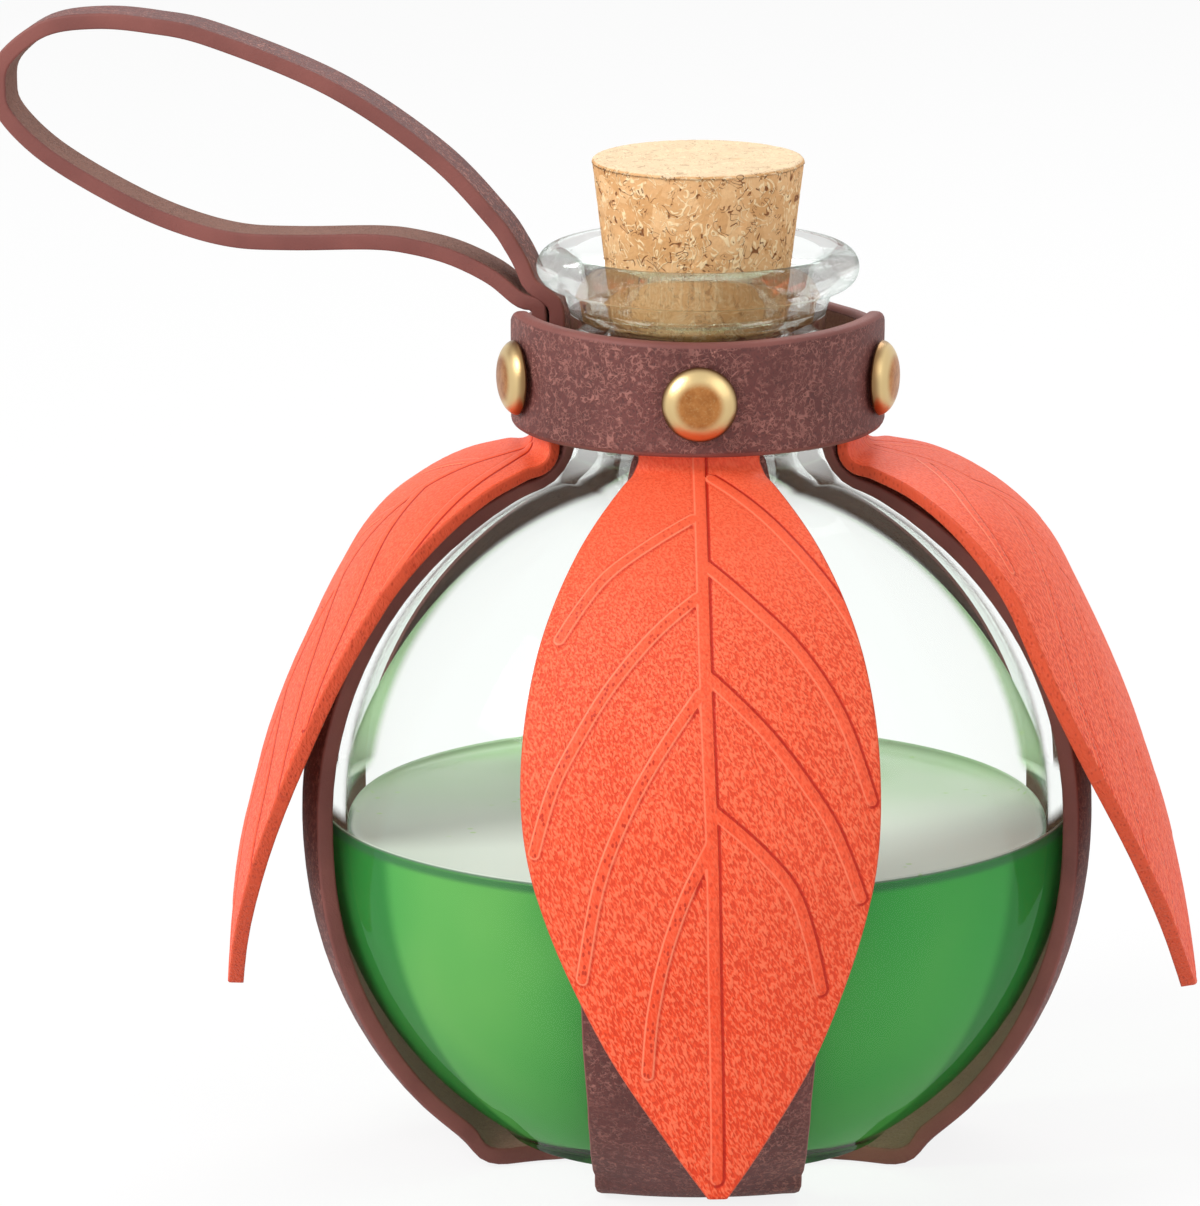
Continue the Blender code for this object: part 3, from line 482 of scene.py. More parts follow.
def through(knots, position):
    """The height at a position of the smooth curve through knots of (position, height)."""
    count = len(knots)
    slopes = []
    for i in range(count):
        before = knots[max(i - 1, 0)]
        after = knots[min(i + 1, count - 1)]
        slopes.append((after[1] - before[1]) / (after[0] - before[0]))
    i = 0
    while i < count - 2 and position > knots[i + 1][0]:
        i += 1
    (x0, y0), (x1, y1) = knots[i], knots[i + 1]
    span = x1 - x0
    t = (position - x0) / span
    return ((2 * t**3 - 3 * t**2 + 1) * y0 + (t**3 - 2 * t**2 + t) * span * slopes[i]
            + (3 * t**2 - 2 * t**3) * y1 + (t**3 - t**2) * span * slopes[i + 1])


def lengths(path):
    """Distance along a path at each of its points."""
    run = [0.0]
    for a, b in zip(path, path[1:]):
        run.append(run[-1] + (b - a).length)
    return run


def respaced(path, step):
    """The same path with its points a step apart."""
    run = lengths(path)
    count = max(2, round(run[-1] / step))
    points, i = [], 0
    for k in range(count + 1):
        goal = run[-1] * k / count
        while i < len(run) - 2 and run[i + 1] < goal:
            i += 1
        share = (goal - run[i]) / (run[i + 1] - run[i])
        points.append(path[i].lerp(path[i + 1], share))
    return points


def stations(path, azimuth_at, step):
    """Cross-section places along a meridian path of (distance from the axis, height)."""
    points = respaced(path, step)
    last = len(points) - 1
    places = []
    for i, point in enumerate(points):
        along = (points[min(i + 2, last)] - points[max(i - 2, 0)]).normalized()
        normal = Vector((-along.y, along.x))
        angle = azimuth_at(i / last, point)
        outward = Vector((math.sin(angle), -math.cos(angle), 0))
        sideways = Vector((math.cos(angle), math.sin(angle), 0))
        places.append({
            "at": outward * point.x + Vector((0, 0, point.y)),
            "out": outward * normal.x + Vector((0, 0, normal.y)),
            "side": sideways, "bend": max(normal.x, 0.0) / max(point.x, 4 * MM), "point": point,
        })
    return places


def strip(name, places, columns, corner, relief=None):
    """Leather cut to an outline: two faces and a cut edge with softened corners, laid along its places.

    relief(along, across) raises the outer face; along and across are arrays of distances on the leather.
    The mesh carries, for its finish, the distances along and across, and 1 on the cut edge, -1 on the inside.
    """
    at, out, side = (np.array([place[key] for place in places]) for key in ("at", "out", "side"))
    half, thick, bend, lean = (
        np.array([place.get(key, 0.0) for place in places])[:, None]
        for key in ("half", "thick", "bend", "lean")
    )
    run = np.concatenate(([0.0], np.cumsum(np.linalg.norm(np.diff(at, axis=0), axis=1))))[:, None]
    soft = np.minimum(corner, np.minimum(thick * 0.48, half * 0.45))
    turns = np.radians([22, 45, 68, 90])
    share = np.linspace(-1, 1, columns + 1)[None]
    flat = half - soft
    face = flat * share
    edge = np.concatenate((flat + soft * np.sin(turns), flat + soft * np.sin(turns[::-1])), axis=1)
    deep = thick / 2 - soft
    fall = np.concatenate((deep + soft * np.cos(turns), -deep - soft * np.cos(turns[::-1])), axis=1)
    across = np.concatenate((face, edge, face[:, ::-1], -edge), axis=1)
    lift = np.concatenate((face * 0 + thick / 2, fall, face * 0 - thick / 2, -fall), axis=1)
    mark = np.concatenate((share * 0, np.ones((1, 8)), share * 0 - 1, np.ones((1, 8))), axis=1) + run * 0
    if relief:
        lift[:, :columns + 1] += relief(run + face * 0, face)
    swing = bend * (across + lean)
    curved = np.abs(swing) > 1e-9
    radius = 1 / np.where(curved, bend, 1.0)
    offset = np.where(curved, np.sin(swing) * radius, across + lean)[..., None]
    drop = np.where(curved, (1 - np.cos(swing)) * radius, 0.0)[..., None]
    out, side = out[:, None], side[:, None]
    away = out * np.cos(swing)[..., None] + side * np.sin(swing)[..., None]
    verts = (at[:, None] + side * offset - out * drop + away * lift[..., None]).reshape(-1, 3)
    count = across.shape[1]
    ring = np.arange(len(places) * count).reshape(-1, count)
    wrapped = np.roll(ring, -1, axis=1)
    faces = np.stack((ring[:-1], wrapped[:-1], wrapped[1:], ring[1:]), axis=2).reshape(-1, 4).tolist()
    piece = shaded(name, verts, faces + [ring[0].tolist(), ring[-1].tolist()])
    marks = np.stack((run + across * 0, across, mark), axis=2).astype(np.float32)
    piece.data.attributes.new("strip", "FLOAT_VECTOR", "POINT").data.foreach_set("vector", marks.ravel())
    return piece


tongue_half = 3.5 * MM
strap_root_half = 7.1 * MM
belly_half = 14.2 * MM
foot_half = 12.2 * MM
crossing_half = 9.0 * MM


def strap_half_width(height, out):
    """Narrow in the tongue, widest at the belly, narrower again under the foot."""
    if height > band_z:
        return strap_root_half + (tongue_half - strap_root_half) * smooth(height, band_z, tab_shoulder_z)
    if height > body_middle:
        share = math.acos(min((height - body_middle) / (band_z - body_middle), 1.0)) / (math.pi / 2)
        return strap_root_half + (belly_half - strap_root_half) * share**1.15
    if height > 3 * MM:
        share = (body_middle - height) / body_middle
        return belly_half + (foot_half - belly_half) * share**1.5
    return crossing_half + (foot_half - crossing_half) * smooth(out, 16 * MM, 27 * MM)


leather_gap = 0.3 * MM
strap_leather = 2.0 * MM
skived_leather = 1.4 * MM
skive_start = body_middle + body_radius * 0.78
tab_top_z = band_top_z - 3.8 * MM
tab_shoulder_z = band_top_z - 9.9 * MM
strap_line = body_radius + leather_gap + strap_leather / 2
tongue_reach = math.hypot(16.5 * MM, 3.0 * MM) + skived_leather / 2
strap_bend, strap_meet = shoulder(strap_line, tongue_reach, 4 * MM, 8)
strap_slack = 1.5 * MM
leave_z = 4.4 * MM
leave = math.pi - math.acos((body_middle - leave_z) / (strap_line + strap_slack))
crossing_start = 16.7 * MM
crossing_flat = 9.9 * MM


def skived(leather, height):
    """The thickness of leather that is thinned towards its tongue from the flask's shoulder up."""
    return leather + (skived_leather - leather) * smooth(height, skive_start, band_z - 2 * MM)


def half_strap(crossing_rise):
    """A strap's centre line from its tongue's top to the middle of the foot, rising there to cross."""
    path = [Vector((tongue_reach, tab_top_z))] + strap_bend
    for k in range(1, 31):
        angle = strap_meet + (leave - strap_meet) * k / 30
        reach = strap_line + strap_slack * smooth(angle, math.pi / 2, leave)
        path.append(polar((0, body_middle), reach, angle))
    fall = (path[-1] - path[-2]).normalized()
    corner = path[-1] + fall * ((path[-1].y - strap_leather / 2) / -fall.y)
    path += rounded([path[-1], corner, (crossing_start, strap_leather / 2)], [3.5 * MM], 8)[1:]
    for k in range(1, 25):
        out = crossing_start * (1 - k / 24)
        rise = crossing_rise * (1 - smooth(out, crossing_flat, crossing_start))
        path.append(Vector((out, strap_leather / 2 + rise)))
    return path


def whole_strap(name, crossing_rise, azimuth_at, mirror):
    """Both halves of a strap as one strip, the second half mirrored from the first."""
    first = stations(half_strap(crossing_rise), azimuth_at, 1.1 * MM)
    second = []
    for place in first[-2::-1]:
        second.append({
            "at": mirror @ place["at"], "out": mirror @ place["out"], "side": -(mirror @ place["side"]),
            "bend": place["bend"], "point": place["point"],
        })
    places = first + second
    for i, place in enumerate(places):
        place["half"] = strap_half_width(place["point"].y, place["point"].x)
        place["half"] += 0.12 * MM * noise.noise(Vector((i * 0.21, crossing_rise * 1000, 0.5)))
        place["thick"] = skived(strap_leather, place["point"].y)
    strap = strip(name, places, 16, 0.35 * MM)
    strap.data.materials.append(brown_leather)
    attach(strap, "flask")
    return strap


side_azimuth = math.radians(74)
belly_azimuth = math.radians(90)


def leather_marks(place):
    """What strip put on a mesh, as wires: its marks, then 1 on the cut edge, then 1 on the inside."""
    marks = place.attribute("strip")
    part_mark = marks.axis(2)
    return marks, part_mark.between(0.3, 1.0), part_mark.between(-0.3, -1.0)


brown_leather, place, feed = finish("brown_leather", Specular_IOR_Level=0.4)
_, cut_edge, inside = leather_marks(place)
mottle = place.cloud(8 * MM, detail=3.0).between(0.3, 0.7)
dense = place.cloud(11 * MM, detail=2.0).between(0.35, 0.6) * 0.55 + 0.45
worms = place.creases(0.95 * MM, twist=0.6).between(0.42, 0.12)
worms = worms.larger(place.creases(0.72 * MM, twist=0.4).between(0.36, 0.10) * 0.8)
worms = worms.larger(place.creases(0.60 * MM, twist=0.9).between(0.50, 0.16) * 0.7)
worms = worms * place.cloud(0.8 * MM, detail=0.0).between(0.36, 0.5) * dense
dots = place.cells(0.8 * MM).between(0.20, 0.10) * place.cloud(2 * MM).between(0.52, 0.6)
fine = place.cloud(0.3 * MM, detail=2.0)
brown = mottle.blend((0.108, 0.028, 0.024, 1), (0.148, 0.042, 0.036, 1))
brown = (fine.between(0.52, 0.3) * 0.6).blend(brown, (0.052, 0.016, 0.015, 1))
brown = (worms * 0.85).blend(brown, (0.37, 0.150, 0.122, 1))
# The bright specks are painted glints.
brown = (dots * 0.6).blend(brown, (0.60, 0.26, 0.20, 1))
brown = cut_edge.blend(brown, mottle.blend((0.175, 0.052, 0.043, 1), (0.225, 0.070, 0.057, 1)))
brown = inside.blend(brown, fine.blend((0.15, 0.062, 0.044, 1), (0.30, 0.150, 0.110, 1)))
grain = (worms * 0.8 + fine * 0.7 + dots * 0.3) * (1.0 - cut_edge * 0.85)
feed(Base_Color=brown, Roughness=0.50 + fine * 0.25 + inside * 0.2 - cut_edge * 0.05,
     Normal=grain.relief(0.15 * MM, 0.75))

front_back = whole_strap("strap_front_back_leather", 0.0, lambda share, point: 0.0,
                         Matrix.Diagonal((1, -1, 1)))
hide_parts("strap_front_back")
left_right = whole_strap(
    "strap_left_right_leather", strap_leather + leather_gap,
    lambda share, point: belly_azimuth + (side_azimuth - belly_azimuth) * smooth(
        point.y, band_z - 4 * MM, tab_shoulder_z),
    Matrix.Diagonal((-1, 1, 1)),
)
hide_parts("strap_left_right")


# The neck band
# One strip of the same leather, wrapped round the tongues of the straps and leaves, its ends lapped at the
# back under the fourth rivet. The front and side rivets squeeze it, so that it dips around their caps.

rivet_z = band_top_z - 7.1 * MM
band_reach = tongue_reach + 1.5 * skived_leather + 2 * leather_gap + strap_leather / 2
lap_reach = band_reach + strap_leather + leather_gap
half_lap = 5.2 * MM / band_reach
band_end = math.pi + half_lap
lap_from, lap_to = band_end - 5 * half_lap, band_end - 2.4 * half_lap
back_cut = 2.5 * MM
band_places = []
for k in range(361):
    angle = band_end * (2 * k / 360 - 1)
    reach = band_reach + (lap_reach - band_reach) * smooth(angle, lap_from, lap_to)
    rise = band_side_rise * smooth(abs(angle), 0.0, side_azimuth)
    rise -= back_cut * smooth(abs(angle), side_azimuth + half_lap / 4, side_azimuth + 2 * half_lap)
    outward = Vector((math.sin(angle), -math.cos(angle), 0))
    tall = band_top_z - band_z + rise
    band_places.append({
        "at": outward * reach + Vector((0, 0, band_z + tall / 2)), "out": outward, "side": Vector((0, 0, 1)),
        "half": tall / 2, "thick": strap_leather,
    })


def ripple(along, across, size):
    """Gentle swells of about this size, from -1 to 1, over arrays of distances on the leather."""
    u, v = along / size, across / size
    slow = 2.1 * np.sin(v * 1.3 + 0.7) + 1.3 * np.sin(u * 0.8)
    return (np.sin(u * 2.3 + slow) + np.sin(v * 2.9 + 1.7 * np.sin(u + 2.0))) / 2


def band_dip(along, across):
    """The front and side rivets pull the leather in a little round their caps, and it swells between them."""
    angle = along / band_reach - band_end
    rivets = (0.0, -side_azimuth, side_azimuth)
    away = np.min([np.hypot((angle - at) * band_reach, across) for at in rivets], axis=0)
    share = np.clip((away - 3.5 * MM) / (4 * MM), 0, 1)
    return -0.22 * MM * (1 - share * share * (3 - 2 * share)) + 0.05 * MM * ripple(along, across, 5 * MM)


band = strip("neck_band_leather", band_places, 26, 0.75 * MM, relief=band_dip)
band.data.materials.append(brown_leather)
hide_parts("neck_band")
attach(band, "flask")


# The three leaves
# Cut from dyed orange leather with a lined grain and tooled veins. A tongue at the top of each is riveted
# under the band; the front leaf lies on its strap and hangs down, the side leaves spring out from the neck.

leaf_leather = 1.8 * MM
leaf_half = 21.2 * MM
leaf_length = 93 * MM
leaf_reach = tongue_reach + skived_leather + leather_gap
leaf_width_shares = [
    (0.0, 0.335), (0.15, 0.68), (0.3, 0.91), (0.47, 1.0), (0.62, 0.925), (0.8, 0.61), (0.94, 0.235),
    (1.0, 0.055),
]
leaf_start = band_z - 1.0 * MM
flex_z = band_z - 0.6 * MM
leaf_belly = body_radius + strap_leather + 3 * leather_gap + leaf_leather / 2

# The veins as curves on the leaf: millimetres along from the band, and across to the right of the middle
leaf_veins = [
    [(-3, -0.1), (21.7, 0.3), (34, 0.6), (51.1, 1.1), (68.8, 0.5), (80.9, 0.1), (90.6, -0.1)],
    [(10.1, -0.8), (13.9, -5.8), (17.6, -10.5), (21.3, -13.5), (25.6, -16.3)],
    [(21.5, -0.4), (26.1, -5.3), (32.5, -10.5), (38.3, -14.1), (44.1, -17.1), (52.1, -19.6)],
    [(33.4, -0.1), (40.3, -4.7), (47.7, -8.8), (56.0, -12.1), (67.0, -14.6)],
    [(50.5, 1.1), (56.8, -2.2), (64.0, -4.9), (71.3, -6.7), (78.0, -7.6)],
    [(3.1, 1.4), (8.3, 6.5), (13.2, 10.6), (20.2, 15.9), (26.5, 19.6)],
    [(17.3, 0.8), (22.2, 5.8), (28.1, 11.6), (35.7, 16.4), (45.5, 19.9)],
    [(31.7, 1.2), (38.5, 8.0), (46.6, 13.9), (52.0, 16.4), (57.6, 18.2)],
    [(47.1, 1.6), (51.1, 6.1), (55.9, 10.0), (62.0, 11.8), (68.2, 12.8)],
]


def curve_through(points, steps):
    """Points of the smooth curve through chosen points."""
    path = []
    for i in range(len(points) - 1):
        before, here = points[max(i - 1, 0)], points[i]
        there, after = points[i + 1], points[min(i + 2, len(points) - 1)]
        for k in range(steps):
            t = k / steps
            square = 2 * before - 5 * here + 4 * there - after
            cube = 3 * here - before - 3 * there + after
            path.append(0.5 * (2 * here + (there - before) * t + square * t**2 + cube * t**3))
    path.append(points[-1])
    return path


vein_runs = []
for vein in leaf_veins:
    line = curve_through([Vector(p) * MM for p in vein], 5)
    vein_runs += zip(line, line[1:])


def vein_field(along, across):
    """For arrays of spots on a leaf: how far the nearest vein's middle is, and 1 where it is to the right,
    the flank facing the light.
    """
    near = np.full(along.shape, 1.0)
    left = np.zeros(along.shape)
    for start, end in vein_runs:
        step = end - start
        share = (along - start.x) * step.x + (across - start.y) * step.y
        share = np.clip(share / step.length_squared, 0, 1)
        down, right = along - start.x - share * step.x, across - start.y - share * step.y
        away = np.hypot(down, right)
        left = np.where(away < near, -(0.3 * down + 0.95 * right) / np.maximum(away, 1e-9), left)
        near = np.minimum(away, near)
    return near, left


def eased(value, low, high):
    """As smooth, for arrays."""
    share = np.clip((value - low) / (high - low), 0, 1)
    return share * share * (3 - 2 * share)


rib_half = 0.85 * MM


def leaf_face(along, across):
    """The carving: each vein is a rounded rib, cut in deeper on its right than on its left."""
    near, left = vein_field(along - blade_start, across)
    rib = np.sqrt(np.clip(1 - (near / rib_half) ** 2, 0, 1))
    groove = eased(near, 0.50 * MM, rib_half) * eased(near, 1.30 * MM, 0.90 * MM)
    swell = ripple(along, across, 9 * MM)
    return 0.05 * MM * rib - 0.12 * MM * groove * (0.6 - 0.4 * left) + 0.09 * MM * swell


def leaf_line(side):
    """A leaf's centre line from its tongue's top to its tip."""
    top = Vector((leaf_reach, tab_top_z))
    if side == "front":
        line_radius = leaf_belly
        fillet = 4 * MM - (leaf_reach - tongue_reach)
        over, over_meet = shoulder(line_radius, leaf_reach, fillet, 8)
        path = [top] + [p for p in over if p.y < leaf_start]
        path += arc((0, body_middle), line_radius, over_meet, math.pi / 2, 30)[1:]
        left = leaf_length - lengths([Vector((leaf_reach, leaf_start))] + path[1:])[-1]
        return path + [path[-1] + Vector((-1.5 * MM, -left))]
    overhang = leaf_belly - leaf_reach
    root = Vector((leaf_reach, body_middle + math.sqrt(leaf_belly**2 - leaf_reach**2) - 0.66 * MM))
    points, tip, bend_shares = leaf_shapes[side]
    corners = [Vector((leaf_reach + x * overhang, body_middle + y * body_radius)) for x, y in points + [tip]]
    bends = [1.13 * (flex_z - root.y)] + [share * overhang for share in bend_shares]
    return rounded([top, root] + corners, bends, 14)


leaf_shapes = {
    "left": ([(0.555, 0.875), (1.186, 0.112)], (1.222, -0.458), [0.887, 3.4]),
    "right": ([(0.628, 0.884), (1.186, 0.1)], (1.351, -0.453), [0.887, 5.0]),
}
side_root_azimuth = math.radians(83)
leaf_turns = {
    "front": (0.0, 0.0, 0.0), "left": (-side_azimuth, -side_root_azimuth, -math.radians(88)),
    "right": (side_azimuth, side_root_azimuth, math.radians(82)),
}
orange_leather, place, feed = finish("orange_leather", Specular_IOR_Level=0.3)
marks, cut_edge, inside = leather_marks(place)
vein = place.attribute("vein")
away = vein.axis(0)
facing_light = vein.axis(1)
height = place.axis(2)
across = marks.axis(1)
left_half = across.between(-0.6 * MM, -1.4 * MM)
rib = away.between(rib_half, 0.70 * MM)
# Painted light on the veins: a light line along each rib's flank that faces the light from the left, and a
# dark line of painted shade along the flank away from it, faint on the lit flank. On the leaf's left half the
# light line runs along both flanks and the dark one is weaker.
shaded_side = facing_light.between(0.35, -0.25)
painted_shade_line = away.between(0.62 * MM, 0.76 * MM) * away.between(1.16 * MM, 0.92 * MM)
painted_shade_line = painted_shade_line * (0.15 + shaded_side * (0.80 - left_half * 0.45))
painted_highlight_line = away.between(0.46 * MM, 0.60 * MM) * away.between(0.80 * MM, 0.68 * MM)
painted_highlight_line = painted_highlight_line * (1.0 - shaded_side * (1.0 - left_half)) * (0.55 + left_half * 0.25)
mottle = place.cloud(11 * MM, detail=3.0).between(0.3, 0.7)
slant = {"Vector": place, "Angle": 0.44}
turned_place = place.node("ShaderNodeVectorRotate", {"rotation_type": "Y_AXIS"}, slant)
ridges = turned_place.stretched(1, 1, 0.40).cloud(0.25 * MM, detail=0.0, twist=0.6)
dots = place.stretched(1, 1, 0.6).cells(0.52 * MM)
stitch = dots.between(0.42, 0.22) * away.between(0.62 * MM, 0.46 * MM) * (0.4 + left_half * 0.6)
smooth_part = height.between(body_middle + 24 * MM, band_z) * 0.6
grained = (1.0 - rib * 0.6) * (1.0 - smooth_part)
orange = height.between(foot_z + 15 * MM, band_z).blend((0.86, 0.068, 0.015, 1), (0.94, 0.115, 0.043, 1))
orange = (mottle * 0.3).blend(orange, (0.95, 0.135, 0.058, 1))
orange = (ridges.between(0.50, 0.62) * grained * 0.55).blend(orange, (1.0, 0.22, 0.105, 1))
orange = (ridges.between(0.48, 0.36) * grained * 0.52).blend(orange, (0.58, 0.024, 0.004, 1))
orange = (stitch * (1.0 - smooth_part) * 0.75).blend(orange, (0.42, 0.013, 0.002, 1))
# The veins' painted shade and painted highlight lines.
orange = painted_shade_line.blend(orange, (0.50, 0.012, 0.001, 1))
orange = (painted_highlight_line * 0.8).blend(orange, (1.0, 0.29, 0.16, 1))
edge_orange = dots.between(0.1, 0.4).blend((0.50, 0.045, 0.014, 1), (0.68, 0.080, 0.028, 1))
orange = (cut_edge * 0.9).blend(orange, edge_orange)
orange = inside.blend(orange, ridges.blend((0.62, 0.120, 0.060, 1), (0.85, 0.240, 0.135, 1)))
carved = (rib * 0.5 - painted_shade_line).relief(0.12 * MM, 0.7)
feed(Base_Color=orange, Roughness=0.46 + dots * 0.18,
     Normal=(ridges * grained).relief(0.20 * MM, 0.85, below=carved))

for side, (rivet_turn, root_angle, blade_angle) in leaf_turns.items():
    path = leaf_line(side)
    total = lengths(path)[-1]
    blade_start = tab_top_z - leaf_start

    def leaf_azimuth(share, point):
        """The leaf turns over its tongue from the rivet to its root, then on to where its blade points."""
        if point.y > band_z:
            return root_angle + (rivet_turn - root_angle) * smooth(point.y, band_z, tab_shoulder_z)
        run = (share * total - blade_start) / (total - blade_start)
        return root_angle + (blade_angle - root_angle) * smooth(run, 0.0, 0.5)

    places = stations(path, leaf_azimuth, 0.42 * MM)
    last = len(places) - 1
    for i, place_here in enumerate(places):
        share = (total * i / last - blade_start) / (total - blade_start)
        height = place_here["point"].y
        place_here["lean"] = 2.0 * MM * smooth(share, 0.45, 1.0)
        root_half = leaf_half * leaf_width_shares[0][1]
        if share < 0:
            widening = 1 - smooth(height, band_z, tab_shoulder_z)
            place_here["half"] = tongue_half + (root_half - tongue_half) * widening
        else:
            place_here["half"] = max(leaf_half * through(leaf_width_shares, share), 1.15 * MM)
            if side != "front":
                place_here["bend"] *= 1 - 0.5 * smooth(share, 0.05, 0.4)
        place_here["thick"] = skived(leaf_leather, height)
    leaf = strip("leaf_" + side + "_leather", places, 110, 0.3 * MM, relief=leaf_face)
    spots = np.empty(len(leaf.data.vertices) * 3, dtype=np.float32)
    leaf.data.attributes["strip"].data.foreach_get("vector", spots)
    spots = spots.reshape(-1, 3)
    near, left = vein_field(spots[:, 0] - blade_start, spots[:, 1])
    field = np.stack((near, left, near * 0), axis=1).astype(np.float32)
    leaf.data.attributes.new("vein", "FLOAT_VECTOR", "POINT").data.foreach_set("vector", field.ravel())
    leaf.data.materials.append(orange_leather)
    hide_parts("leaf_" + side, "leaf_" + side + "_tab")
    root_place = next(p for p in places if p["point"].y < flex_z)["at"]
    root_place + Vector((0, 0, 0.8 * MM))
    root_place - Vector((0, 0, 0.8 * MM))
    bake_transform(leaf)


# The hanging loop
# A narrow strap of the same brown leather, doubled into a stiff loop. Both ends are squeezed between the neck
# and the band, and the band's left rivet keeps them there.

loop_leather = 1.9 * MM
loop_half = 3.25 * MM
tongue_turn = tongue_half / tongue_reach
loop_azimuth = -(side_azimuth + tongue_turn + loop_half / (neck_radius + loop_leather / 2) + math.radians(3))
loop_inner = neck_radius + leather_gap + loop_leather / 2
loop_outer = loop_inner + loop_leather + leather_gap
loop_span = 84.1 * MM - loop_outer
loop_rise = 32.9 * MM
loop_upper_shares = [
    (0.047, 0.214), (0.085, 0.319), (0.197, 0.541), (0.382, 0.778), (0.605, 0.947), (0.72, 0.99), (0.82, 1.0),
    (0.915, 0.966), (0.988, 0.851),
]
loop_lower_shares = [
    (1.0, 0.74), (0.986, 0.643), (0.916, 0.509), (0.801, 0.375), (0.687, 0.275), (0.573, 0.217),
    (0.46, 0.211), (0.31, 0.223), (0.236, 0.211), (0.16, 0.175), (0.087, 0.108),
]
over_lip = bead + leather_gap + loop_leather / 2
lip_bead = (lip_radius - bead, lip_z - bead)
loop_z = band_top_z - 0.4 * MM
loop_end_z = band_top_z - 9.6 * MM
loop_points = [
    Vector((loop_inner, loop_end_z)), Vector((loop_inner, band_top_z - 3 * MM)), Vector((loop_inner, loop_z)),
    Vector((loop_inner + loop_leather * 0.32, loop_z + loop_leather * 0.7)),
    polar(lip_bead, over_lip * 1.02, math.radians(132)), polar(lip_bead, over_lip * 1.04, math.radians(95)),
]
for x, y in loop_upper_shares + loop_lower_shares:
    loop_points.append(Vector((loop_outer + x * loop_span, band_top_z + y * loop_rise)))
loop_points += [
    polar(lip_bead, over_lip + loop_leather + 0.45 * MM, math.radians(135)),
    Vector((loop_outer + loop_leather * 0.15, loop_z + loop_leather * 0.4)), Vector((loop_outer, loop_z)),
    Vector((loop_outer, band_top_z - 3 * MM)), Vector((loop_outer, loop_end_z)),
]
places = stations(curve_through(loop_points, 8), lambda share, point: loop_azimuth, 0.8 * MM)
for place_here in places:
    place_here["bend"] = 0.0
    place_here["half"] = loop_half
    place_here["thick"] = loop_leather
loop = strip("hanging_loop_leather", places, 14, 0.3 * MM)
loop.data.materials.append(brown_leather)
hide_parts("hanging_loop", "loop_end_inner", "loop_end_outer")
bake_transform(loop)


# The rivets
# Four double cap rivets of antique brass: a domed cap pressed on a post through the leather. Its copper-brown
# tone, mottled with patina, and a pale ring on its bevel are painted reflections, and a dark line round its
# edge is painted shade. The posts stay as the imported solids and only take the finish.

aged_brass, place, feed = finish("aged_brass", Metallic=1.0)
cap_marks = place.attribute("cap")
out_share = cap_marks.axis(0)
patina = place.cloud(1.6 * MM, detail=4.0, rough=0.6)
scratches = place.cloud(0.3 * MM, detail=3.0)
# The copper-brown base under the patina's mottle is a painted reflection of dark surroundings.
brass = patina.between(0.35, 0.68).blend((0.48, 0.20, 0.062, 1), (0.34, 0.125, 0.036, 1))
brass = (scratches.between(0.5, 0.7) * 0.25).blend(brass, (0.60, 0.38, 0.16, 1))
# A pale ring on the bevel is a painted reflection of bright surroundings, and a dark line at the edge is
# painted shade.
brass = out_share.between(0.48, 0.72).blend(brass, (0.66, 0.49, 0.24, 1))
brass = out_share.between(0.86, 1.0).blend(brass, (0.26, 0.15, 0.065, 1))
feed(Base_Color=brass, Roughness=0.26 + patina * 0.2, Normal=scratches.relief(0.02 * MM, 0.5))

cap_radius = 4.45 * MM
cap_rim = 0.25 * MM
cap_dome = 1.95 * MM
cap_outline = []
for k in range(24):
    share = math.sin(math.pi / 2 * k / 23)
    cap_outline.append(Vector((cap_radius * share, cap_rim + cap_dome * (1 - share**2.6) ** 0.6)))
cap_outline.append(Vector((cap_radius - 0.1 * MM, 0.08 * MM)))
cap_outline += [Vector((cap_radius - 0.3 * MM, 0)), Vector((0, 0))]
band_face = band_reach + strap_leather / 2
rivet_places = {
    "front": (0.0, rivet_z, band_face), "left": (-side_azimuth, rivet_z, band_face),
    "right": (side_azimuth, rivet_z, band_face),
    "back": (math.pi, rivet_z - 1.25 * MM, lap_reach + strap_leather / 2),
}
for label, (angle, height, face) in rivet_places.items():
    cap = turned("rivet_" + label + "_brass", cap_outline, 64)
    shares = [(math.hypot(vert.co.x, vert.co.y) / cap_radius, 0, 0) for vert in cap.data.vertices]
    cap.data.attributes.new("cap", "FLOAT_VECTOR", "POINT").data.foreach_set("vector", np.ravel(shares))
    cap.data.transform(Matrix.Translation((0, 0, face + 0.05 * MM)))
    cap.data.transform(Matrix.Rotation(angle, 4, "Z") @ Matrix.Rotation(math.pi / 2, 4, "X"))
    cap.data.transform(Matrix.Translation((0, 0, height)))
    cap.data.materials.append(aged_brass)
    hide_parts("rivet_" + label + "_cap")
    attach(cap, "flask")
    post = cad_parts["rivet_" + label + "_post"]
    post.data.materials.clear()
    post.data.materials.append(aged_brass)


# The floor, the light and the camera
# A plain pale floor that runs into the background, soft light from all sides with a broad key from the upper
# left, and the camera where the photograph's was.

floor_size = 6.0
floor_mesh = bpy.data.meshes.new("floor")
floor_mesh.from_pydata(
    [(-floor_size, -floor_size, 0), (floor_size, -floor_size, 0), (floor_size, floor_size, 0),
     (-floor_size, floor_size, 0)], [], [(0, 1, 2, 3)],
)
floor = bpy.data.objects.new("floor", floor_mesh)
bpy.context.scene.collection.objects.link(floor)
floor.location.z = -0.2 * MM
pale_floor, place, feed = finish(
    "pale_floor", Base_Color=(0.93, 0.93, 0.93, 1), Roughness=0.9, Specular_IOR_Level=0.0,
)


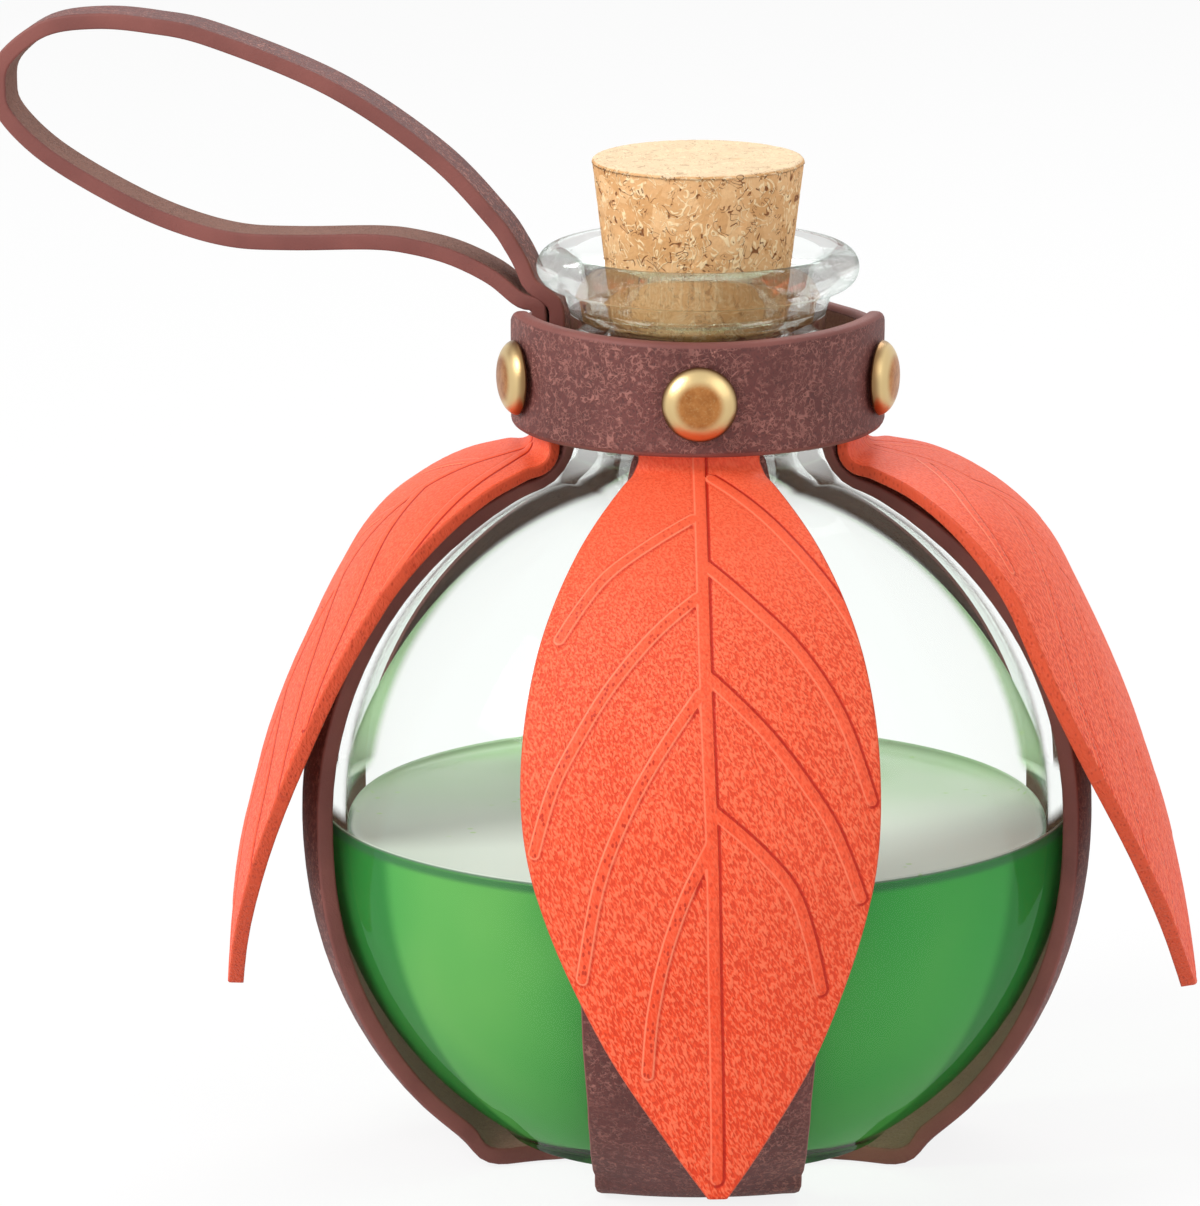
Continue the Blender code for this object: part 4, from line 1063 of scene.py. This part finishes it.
def seen_rays(tree):
    """1 on rays that carry what is seen: from the camera, mirrored or through glass. 0 on the others."""
    light_path = tree.nodes.new("ShaderNodeLightPath")
    seen = Wire(tree, light_path.outputs["Is Camera Ray"])
    for kind in ("Is Transmission Ray", "Is Glossy Ray"):
        seen = seen.larger(Wire(tree, light_path.outputs[kind]))
    return seen


seen = seen_rays(place.tree)
glow = seen.node("ShaderNodeEmission", {}, {"Color": (1, 1, 1, 1), "Strength": 1.0})
mixed = seen.node("ShaderNodeMixShader", {}, {0: seen * 0.85, 1: shader_of(pale_floor, place), 2: glow})
place.tree.links.new(mixed.socket, pale_floor.node_tree.nodes["Material Output"].inputs["Surface"])
floor_mesh.materials.append(pale_floor)

world = bpy.data.worlds.new("studio")
bpy.context.scene.world = world
world.use_nodes = True
sky = world.node_tree.nodes["Background"]
sky.inputs["Color"].default_value = (1, 1, 1, 1)
brightness = seen_rays(world.node_tree) * 0.5 + 0.5
world.node_tree.links.new(brightness.socket, sky.inputs["Strength"])

lamp_aim = Vector((0, 0, 0.06))
for label, azimuth, elevation, distance, size, power in (
    ("key", -60, 35, 0.9, 0.4, 5.5), ("fill", 50, 30, 1.0, 0.7, 2.0), ("rim", 160, 50, 0.9, 0.5, 3.0),
):
    lamp = bpy.data.lights.new(label, "AREA")
    lamp.size = size
    lamp.energy = power
    lamp_object = bpy.data.objects.new(label, lamp)
    bpy.context.scene.collection.objects.link(lamp_object)
    turn, lift = math.radians(azimuth), math.radians(elevation)
    away = Vector((math.sin(turn) * math.cos(lift), -math.cos(turn) * math.cos(lift), math.sin(lift)))
    lamp_object.location = away * distance + lamp_aim
    lamp_object.rotation_euler = away.to_track_quat("Z", "Y").to_euler()

camera = bpy.data.objects.new("camera", bpy.data.cameras.new("camera"))
bpy.context.scene.collection.objects.link(camera)
camera_lift = math.radians(12.5)
camera_distance = 1.2
camera.data.lens = 300.18
camera.location = (-11.6 * MM, -camera_distance * math.cos(camera_lift),
                   66.4 * MM + camera_distance * math.sin(camera_lift))
camera.rotation_euler = (math.pi / 2 - camera_lift, 0, 0)
bpy.context.scene.camera = camera
bpy.context.scene.view_settings.view_transform = "Standard"
